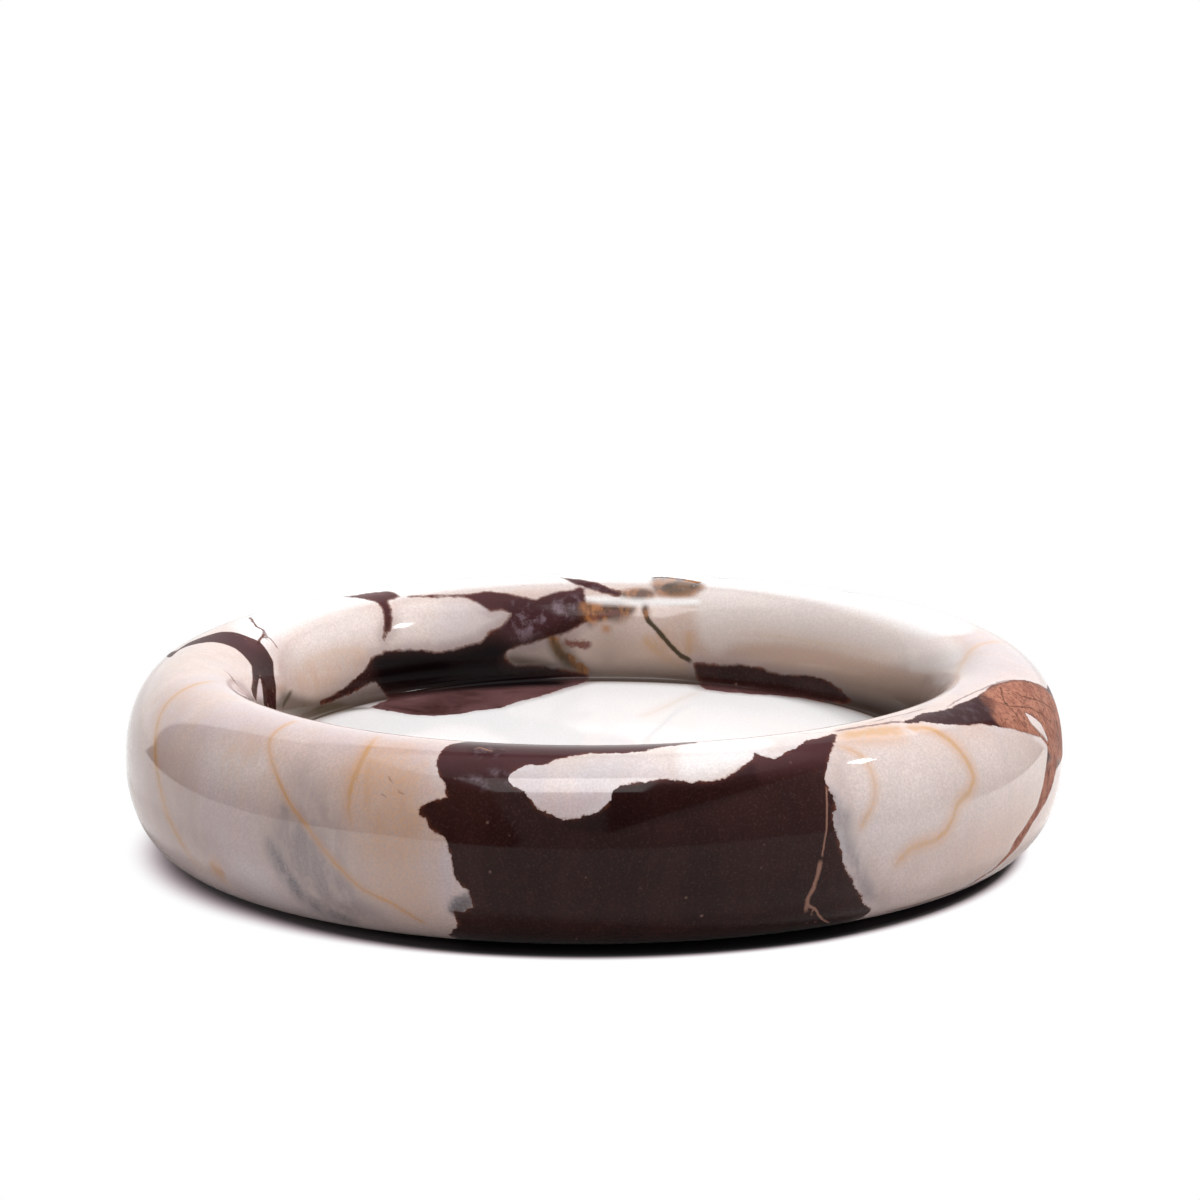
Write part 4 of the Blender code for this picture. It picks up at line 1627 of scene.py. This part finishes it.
wisps = (veil + crystals * 0.4).rise(0.50, 0.80) * 0.5 + 0.5
cream = lay(CREAM, [
    (streak.rise(0.40, 0.66) * 0.6, CREAM_GREY),
    (patchy.rise(0.44, 0.62) * 0.45, CREAM_TAN),
    (drawn("lilac") * streak.rise(0.30, 0.50), CREAM_LILAC),
    (drawn("warm") * broad.rise(0.20, 0.50) * 0.9, CREAM_WARM),
    (drawn("blush") * veil.rise(0.25, 0.65), BLUSH),
    (veil.rise(0.45, 0.70) * 0.22, CREAM_WARM),
    # Pale stone, and painted light on the floor, the rim's crown and the back rim's streak.
    (drawn("pale") * 0.8, CREAM_PALE),
    (crystals.rise(0.40, 0.60) * 0.25, CREAM_GREY),
    (drawn("cloud") * wisps * 0.9, CLOUD),
])
print("cream mixed from", len(marble_finish.node_tree.nodes), "nodes so far")

# %% [markdown]
# The ochre veins have a stained margin round an uneven core. After them comes the grain, which every colour
# of the cream shares, and then the shade on the wall.

# %% Lay the ochre veins and the grain
OCHRE = (0.60, 0.31, 0.10, 1)
CREAM_GRAIN = (0.46, 0.36, 0.34, 1)
SHADE_COLOUR = (0.30, 0.225, 0.18, 1)

_, ochre_away, ochre_strength = split(drawn("ochre", 1))
ochre_margin = ochre_away.rise(3.2, 0.2) * ochre_strength
unevenness = streak.rise(0.35, 0.60) * 0.50 + 0.38
cream = lay(cream, [
    (ochre_margin * 0.60, BLUSH),
    ((vein_core("ochre", 1.8) * unevenness).least(1), OCHRE),
    (grain.rise(0.38, 0.62) * 0.48, CREAM_GRAIN),
    # The pale tone again over the grain: pale stone, and painted light on the floor, crown and back rim.
    (drawn("pale") * 0.7, CREAM_PALE),
    (drawn("shade"), SHADE_COLOUR),
])
print("ochre laid")

# %% [markdown]
# ## The borders
# Near the brown, the cream changes. At the front it pales to a cool halo, at the back it is smoky, and here
# and there a thread of rust lines the edge. The painted shade at the foot of the wall is laid over these
# borders.

# %% Lay the borders
HALO = (0.70, 0.68, 0.72, 1)
SMOKE = (0.30, 0.225, 0.22, 1)
RUST = (0.20, 0.06, 0.03, 1)
FOOT_SHADE_COLOUR = (0.050, 0.032, 0.026, 1)

halo = depth.rise(-2.6 * MM, -0.4 * MM) * streak.rise(0.4, 0.65) * (1 - behind)
smoke = depth.rise(-3.4 * MM, -0.2 * MM) * behind * (1 - on_top)
rust = depth.rise(-0.35 * MM, -0.05 * MM) * streak.rise(0.65, 0.45)
# The last coat is the painted shade at the foot of the wall.
borders = [(halo * 0.28, HALO), (smoke * 0.6, SMOKE), (rust * 0.6, RUST), (drawn("foot"), FOOT_SHADE_COLOUR)]
cream = lay(cream, borders)
print("borders laid")

# %% [markdown]
# Over the borders lie the other minerals: thin dark lines, gold, olive and the brown twigs.

# %% Lay the lines, the gold and the olive
OLIVE = (0.060, 0.042, 0.026, 1)
GOLD = (0.29, 0.112, 0.034, 1)
GOLD_DARK = (0.055, 0.022, 0.013, 1)
BROWN_VEIN = (0.13, 0.045, 0.035, 1)

golden = (drawn("gold") * fine.rise(0.22, 0.36)).most(vein_core("gold_veins", 2.0))
gold_colour = veil.rise(0.42, 0.58).paint(GOLD, GOLD_DARK)
smoky = drawn("olive") * fine.rise(0.16, 0.34)
rim_line = vein_core("rim_lines", 2.6)
cream = lay(cream, [(dark_line * 0.95, OLIVE), (golden, gold_colour), (smoky, OLIVE)])
cream = lay(cream, [(twig, BROWN_VEIN), (rim_line, BROWN_VEIN)])
print("cream finished with", len(marble_finish.node_tree.nodes), "nodes so far")

# %% [markdown]
# ## The brown
# The chocolate mineral is nearly black in its streaks and reddish in its crystals. It is lighter where the
# rim's top and the floor catch the light, and lined with rust just inside its edge.

# %% Mix the brown
BROWN = (0.034, 0.0115, 0.0095, 1)
BROWN_DEEP = (0.024, 0.0080, 0.0068, 1)
BROWN_RED = (0.058, 0.016, 0.010, 1)
BROWN_TOP = (0.072, 0.029, 0.032, 1)
BROWN_FLOOR = (0.130, 0.058, 0.060, 1)
SPECK = (0.30, 0.16, 0.13, 1)
SPECKS_PER_METRE = 330

cells = place.node("ShaderNodeTexVoronoi", {}, {"Vector": place, "Scale": SPECKS_PER_METRE})
specks = cells.rise(0.16, 0.08) * noise(place, 150, 2).rise(0.55, 0.65)
dark = lay(BROWN, [
    (streak.rise(0.35, 0.65), BROWN_DEEP),
    (fine.rise(0.50, 0.75) * 0.35, BROWN_RED),
    ((on_top * (streak * 0.6 + 0.6)).least(1), BROWN_TOP),
    (drawn("pale") * streak.rise(0.25, 0.60), BROWN_FLOOR),
    (depth.rise(0.9 * MM, 0.1 * MM) * fine.rise(0.4, 0.7) * 0.5, RUST),
    (specks * 0.5, SPECK),
])
print("brown mixed")

# %% [markdown]
# The right wedge ends in copper, with a net of dark threads where the veil noise folds over. Purple mottling,
# gold and twigs cross the brown too, and last comes a grain of its own.

# %% Lay the copper and the mottling
COPPER = (0.44, 0.195, 0.130, 1)
COPPER_RED = (0.29, 0.118, 0.084, 1)
COPPER_DARK = (0.070, 0.025, 0.019, 1)
PURPLE = (0.046, 0.017, 0.019, 1)
MOTTLE = (0.145, 0.098, 0.115, 1)
BROWN_GRAIN = (0.085, 0.044, 0.044, 1)
BROWN_BLACK = (0.0030, 0.0010, 0.0014, 1)

threads = (veil - 0.5).maths("ABSOLUTE", veil - 0.5).rise(0.022, 0.004)
copper_colour = lay(COPPER, [(fine.rise(0.40, 0.62), COPPER_RED), (threads * 0.65, COPPER_DARK)])
coppery = drawn("copper") * fine.rise(0.27, 0.42) * covered
mottled = drawn("mottle")
dark = lay(dark, [
    (coppery, copper_colour),
    (twig * 0.8, BROWN_RED),
    (mottled, PURPLE),
    (mottled * (fine + veil).rise(0.94, 1.22), MOTTLE),
    (drawn("gold") * fine.rise(0.42, 0.56), gold_colour),
    (grain.rise(0.50, 0.72) * 0.38, BROWN_GRAIN),
    # Near black: the brown's own colour in the wedge, a painted reflection below the boat, painted shade at
    # the back wall's foot.
    (drawn("deep"), BROWN_BLACK),
])
print("brown finished with", len(marble_finish.node_tree.nodes), "nodes so far")

# %% [markdown]
# ## The polish
# The polish is nearly a mirror, a little duller in the grain and on the cracks, which also lie a hair lower.
# The cream mirrors fully. The brown mineral takes a weaker polish, weaker still on the rim's top, and the
# hushed places hardly mirror at all. The strength of a mirror has to be one number on a shader, so there are
# four shaders with the same colour, and masks mix them.

# %% Polish the stone
TAN = (0.30, 0.155, 0.11, 1)
STONE_IOR = 1.52
CREAM_SHINE = 0.5
BROWN_SHINE = 0.12
TOP_SHINE = 0.05
NO_SHINE = 0.0

stone_colour = crack.paint(covered.paint(cream, dark), TAN)
dullness = grain * 0.03 + 0.045 + crack * 0.35 + behind * 0.04
relief = grain * 0.02 - crack * 0.6
bump = place.node("ShaderNodeBump", {}, {"Height": relief, "Strength": 0.15, "Distance": 0.2 * MM})


def polish(shine):
    """Return the polished stone's shader, with one strength of mirror."""
    return place.node("ShaderNodeBsdfPrincipled", {}, {
        "Base Color": stone_colour, "Roughness": dullness, "Normal": bump, "IOR": STONE_IOR,
        "Specular IOR Level": shine,
    })


mineral = covered.most(golden).most(smoky).most(dark_line).most(twig).most(drawn("foot") * 0.9)
hush = (coppery * 0.85).most(covered * drawn("matte") * 0.6).most(drawn("hushed"))
brown_polish = mix_shaders(on_top, polish(BROWN_SHINE), polish(TOP_SHINE))
whole_polish = mix_shaders(mineral, polish(CREAM_SHINE), brown_polish)
end_finish(marble_finish, mix_shaders(hush, whole_polish, polish(NO_SHINE)))
marble.data.materials.clear()
marble.data.materials.append(marble_finish)
print("polished with an index of refraction of", STONE_IOR)

# %% [markdown]
# ## The felt pads
# Pressed wool felt is a mat of short fibres. A pad is punched out of a sheet, so its side is cut and its
# lower face is matted down by the weight of the stone.

# %% Mix the felt
FELT_DARK = (0.030, 0.024, 0.019, 1)
FELT = (0.075, 0.062, 0.050, 1)
FELT_LIGHT = (0.16, 0.14, 0.115, 1)
FIBRE_STRETCH = 7


def lying_fibres(felt_place, stretch):
    """Return a noise of fibres that lie along the direction that isn't stretched."""
    stretched = felt_place.node("ShaderNodeMapping", {}, {"Vector": felt_place, "Scale": stretch})
    return noise(stretched, 900, 3, 0.6, 0.5)


felt, felt_place = new_finish("pressed_felt")
mat = noise(felt_place, 900, 5, 0.7, 0.6)
along_x = lying_fibres(felt_place, (1, FIBRE_STRETCH, FIBRE_STRETCH))
along_y = lying_fibres(felt_place, (FIBRE_STRETCH, 1, FIBRE_STRETCH))
fibres = along_x.most(along_y)
felt_colour = lay(FELT_DARK, [(mat.rise(0.35, 0.65), FELT), (fibres.rise(0.58, 0.70) * 0.6, FELT_LIGHT)])
felt_bump = felt_place.node("ShaderNodeBump", {}, {
    "Height": mat * 0.5 + fibres * 0.5, "Strength": 0.7, "Distance": 0.2 * MM,
})
end_finish(felt, felt_place.node("ShaderNodeBsdfPrincipled", {}, {
    "Base Color": felt_colour, "Roughness": 0.95, "Normal": felt_bump, "Sheen Weight": 0.4,
    "Sheen Roughness": 0.5, "Specular IOR Level": 0.2,
}))
print("felt mixed for", len(PAD_NODES), "pads")

# %% [markdown]
# The pad's mesh is a stack of rings over a rounded edge, with lumps of a few hundredths of a millimetre that
# never leave the packed pad's box. The lumps run round in waves, and each vertex adds a little of its own,
# from a generator with a fixed seed.

# %% Shape a pad
PAD_RINGS = 14
PAD_SIDES = 72
PAD_EDGE = 0.00045
PAD_EDGE_ROWS = 5
PAD_LUMPS = 0.00006
PAD_WAVES = 8
LUMPY_SIDE = 0.9


def pad_profile(radius, thickness):
    """Return (radius, height) rows over a pad, from its lower middle out and up to its upper middle."""
    inner = radius - PAD_EDGE
    lower = [(inner * step / PAD_RINGS, 0) for step in range(1, PAD_RINGS)]
    edge = []
    for turn in np.radians(np.linspace(-90, 0, PAD_EDGE_ROWS)):
        edge.append((inner + PAD_EDGE * math.cos(turn), PAD_EDGE * (1 + math.sin(turn))))
    upper_edge = [(out, thickness - up) for out, up in reversed(edge)]
    upper = [(out, thickness - up) for out, up in reversed(lower)]
    return lower + edge + upper_edge + upper


def pad_points(rng, rows, radius, thickness):
    """Return the points of a lumpy pad, from its lower middle to its upper middle."""
    waves = rng.uniform(0, 2 * math.pi, PAD_WAVES)
    points = [Vector((0, 0, 0))]
    for row, (out, up) in enumerate(rows):
        inward = -1 if up > thickness / 2 else 1
        for step in range(PAD_SIDES):
            turn = 2 * math.pi * step / PAD_SIDES
            wave = sum(math.sin(turn * (3 + 2 * count) + waves[count] + row) for count in range(PAD_WAVES))
            lump = PAD_LUMPS * (0.5 * wave / PAD_WAVES + 0.5 * rng.random())
            wide = out + (lump if out > radius * LUMPY_SIDE else 0)
            height = max(0, up + inward * abs(lump))
            points.append(Vector((wide * math.cos(turn), wide * math.sin(turn), height)))
    points.append(Vector((0, 0, thickness - PAD_LUMPS)))
    return points


def pad_faces(row_count):
    """Return the faces of a pad: a fan below, the rings, and a fan above."""
    faces = []
    last = 1 + (row_count - 1) * PAD_SIDES
    for step in range(PAD_SIDES):
        after = (step + 1) % PAD_SIDES
        faces.append((0, 1 + after, 1 + step))
        for row in range(row_count - 1):
            low = 1 + row * PAD_SIDES
            high = low + PAD_SIDES
            faces.append((low + step, low + after, high + after, high + step))
        faces.append((last + step, last + after, last + PAD_SIDES))
    return faces


print("a pad has", PAD_SIDES, "sides")

# %% [markdown]
# The punch cuts through the wool and leaves a fringe of loose fibres round the side. Each is a bent, tapering
# thread with three sides, which starts just inside the pad and lies nearly along its edge.

# %% Add the loose fibres
FIBRES = 150
FIBRE_LENGTH = 0.0009
FIBRE_THICKNESS = 0.000022
FIBRE_STEPS = 3
FIBRE_TAPER = 0.6
FIBRE_ROOT = 0.0001


def add_fibre(points, faces, start, heading, lift, length, bend):
    """Add one loose fibre: a bent three-sided thread that tapers to its tip."""
    first = len(points)
    side = Vector((-heading.y, heading.x, 0))
    for step in range(FIBRE_STEPS + 1):
        share = step / FIBRE_STEPS
        spot = start + heading * (length * share) + side * (bend * share * share)
        spot = spot + Vector((0, 0, lift * share))
        size = FIBRE_THICKNESS * (1 - FIBRE_TAPER * share)
        for corner in range(3):
            turn = 2 * math.pi * corner / 3
            points.append(spot + side * (size * math.cos(turn)) + Vector((0, 0, size * math.sin(turn))))
    for step in range(FIBRE_STEPS):
        for corner in range(3):
            low = first + 3 * step + corner
            after = first + 3 * step + (corner + 1) % 3
            faces.append((low, after, after + 3, low + 3))
    tip = first + 3 * FIBRE_STEPS
    faces.append((first, first + 2, first + 1))
    faces.append((tip, tip + 1, tip + 2))


def add_fringe(rng, points, faces, radius, thickness):
    """Add the loose fibres round a pad's side."""
    for _ in range(FIBRES):
        turn = rng.uniform(0, 2 * math.pi)
        outward = Vector((math.cos(turn), math.sin(turn), 0))
        up = rng.uniform(0.15, 0.85) * thickness
        sideways = Vector((-outward.y, outward.x, 0)) * rng.choice([-1, 1])
        heading = (sideways + outward * rng.uniform(0.05, 0.25)).normalized()
        length = FIBRE_LENGTH * rng.uniform(0.4, 1.0)
        lift = rng.uniform(-0.15, 0.15) * thickness
        bend = rng.uniform(-0.2, 0.2) * length
        start = outward * (radius - 2 * PAD_LUMPS - FIBRE_ROOT) + Vector((0, 0, up))
        add_fibre(points, faces, start, heading, lift, length, bend)


print("each pad gets", FIBRES, "loose fibres")

# %% [markdown]
# Each pad stands in for its packed solid, in the same place and with the same size.

# %% Punch the four pads
def pad_mesh(node, seed):
    """Return the mesh of one felt pad, in the place of its solid."""
    low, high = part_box(node)
    middle = box_middle(node)
    radius, thickness = (high.x - low.x) / 2, high.z - low.z
    rng = np.random.default_rng(seed)
    rows = pad_profile(radius - PAD_LUMPS, thickness - PAD_LUMPS)
    points = pad_points(rng, rows, radius, thickness)
    faces = pad_faces(len(rows))
    add_fringe(rng, points, faces, radius, thickness)
    mesh = bpy.data.meshes.new(node + "_cloth")
    mesh.from_pydata([spot + Vector((middle.x, middle.y, low.z)) for spot in points], [], faces)
    mesh.shade_smooth()
    mesh.materials.append(felt)
    return mesh


for seed, node in enumerate(PAD_NODES):
    pad = add_object(node + "_cloth", pad_mesh(node, seed))
    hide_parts(node)
    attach(pad, "root")
print("pads punched:", PAD_NODES)

# %% [markdown]
# ## The adhesive discs
# Each pad is held by a disc of double-sided foam tape, milky and full of tiny closed bubbles. The packed disc
# has the right shape already, so it only gets a better finish.

# %% Finish the adhesive
TAPE = (0.74, 0.72, 0.64, 1)
TAPE_BUBBLE = (0.55, 0.53, 0.46, 1)
BUBBLES_PER_METRE = 5200

tape, tape_place = new_finish("foam_tape")
bubbles = tape_place.node("ShaderNodeTexVoronoi", {}, {"Vector": tape_place, "Scale": BUBBLES_PER_METRE})
milk = noise(tape_place, 600, 3, 0.5)
tape_colour = (bubbles.rise(0.45, 0.15) * 0.6).paint(TAPE, TAPE_BUBBLE)
tape_colour = (milk.rise(0.4, 0.7) * 0.2).paint(tape_colour, TAPE_BUBBLE)
tape_bump = tape_place.node("ShaderNodeBump", {}, {"Height": bubbles, "Strength": 0.4, "Distance": 0.05 * MM})
end_finish(tape, tape_place.node("ShaderNodeBsdfPrincipled", {}, {
    "Base Color": tape_colour, "Roughness": milk * 0.2 + 0.4, "Normal": tape_bump, "Subsurface Weight": 0.15,
    "Subsurface Scale": 0.5 * MM,
}))
for node in PAD_NODES:
    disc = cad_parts[node.replace("felt_pad", "pad_adhesive")]
    for material_slot in disc.material_slots:
        material_slot.material = tape
print("adhesive discs finished")

# %% [markdown]
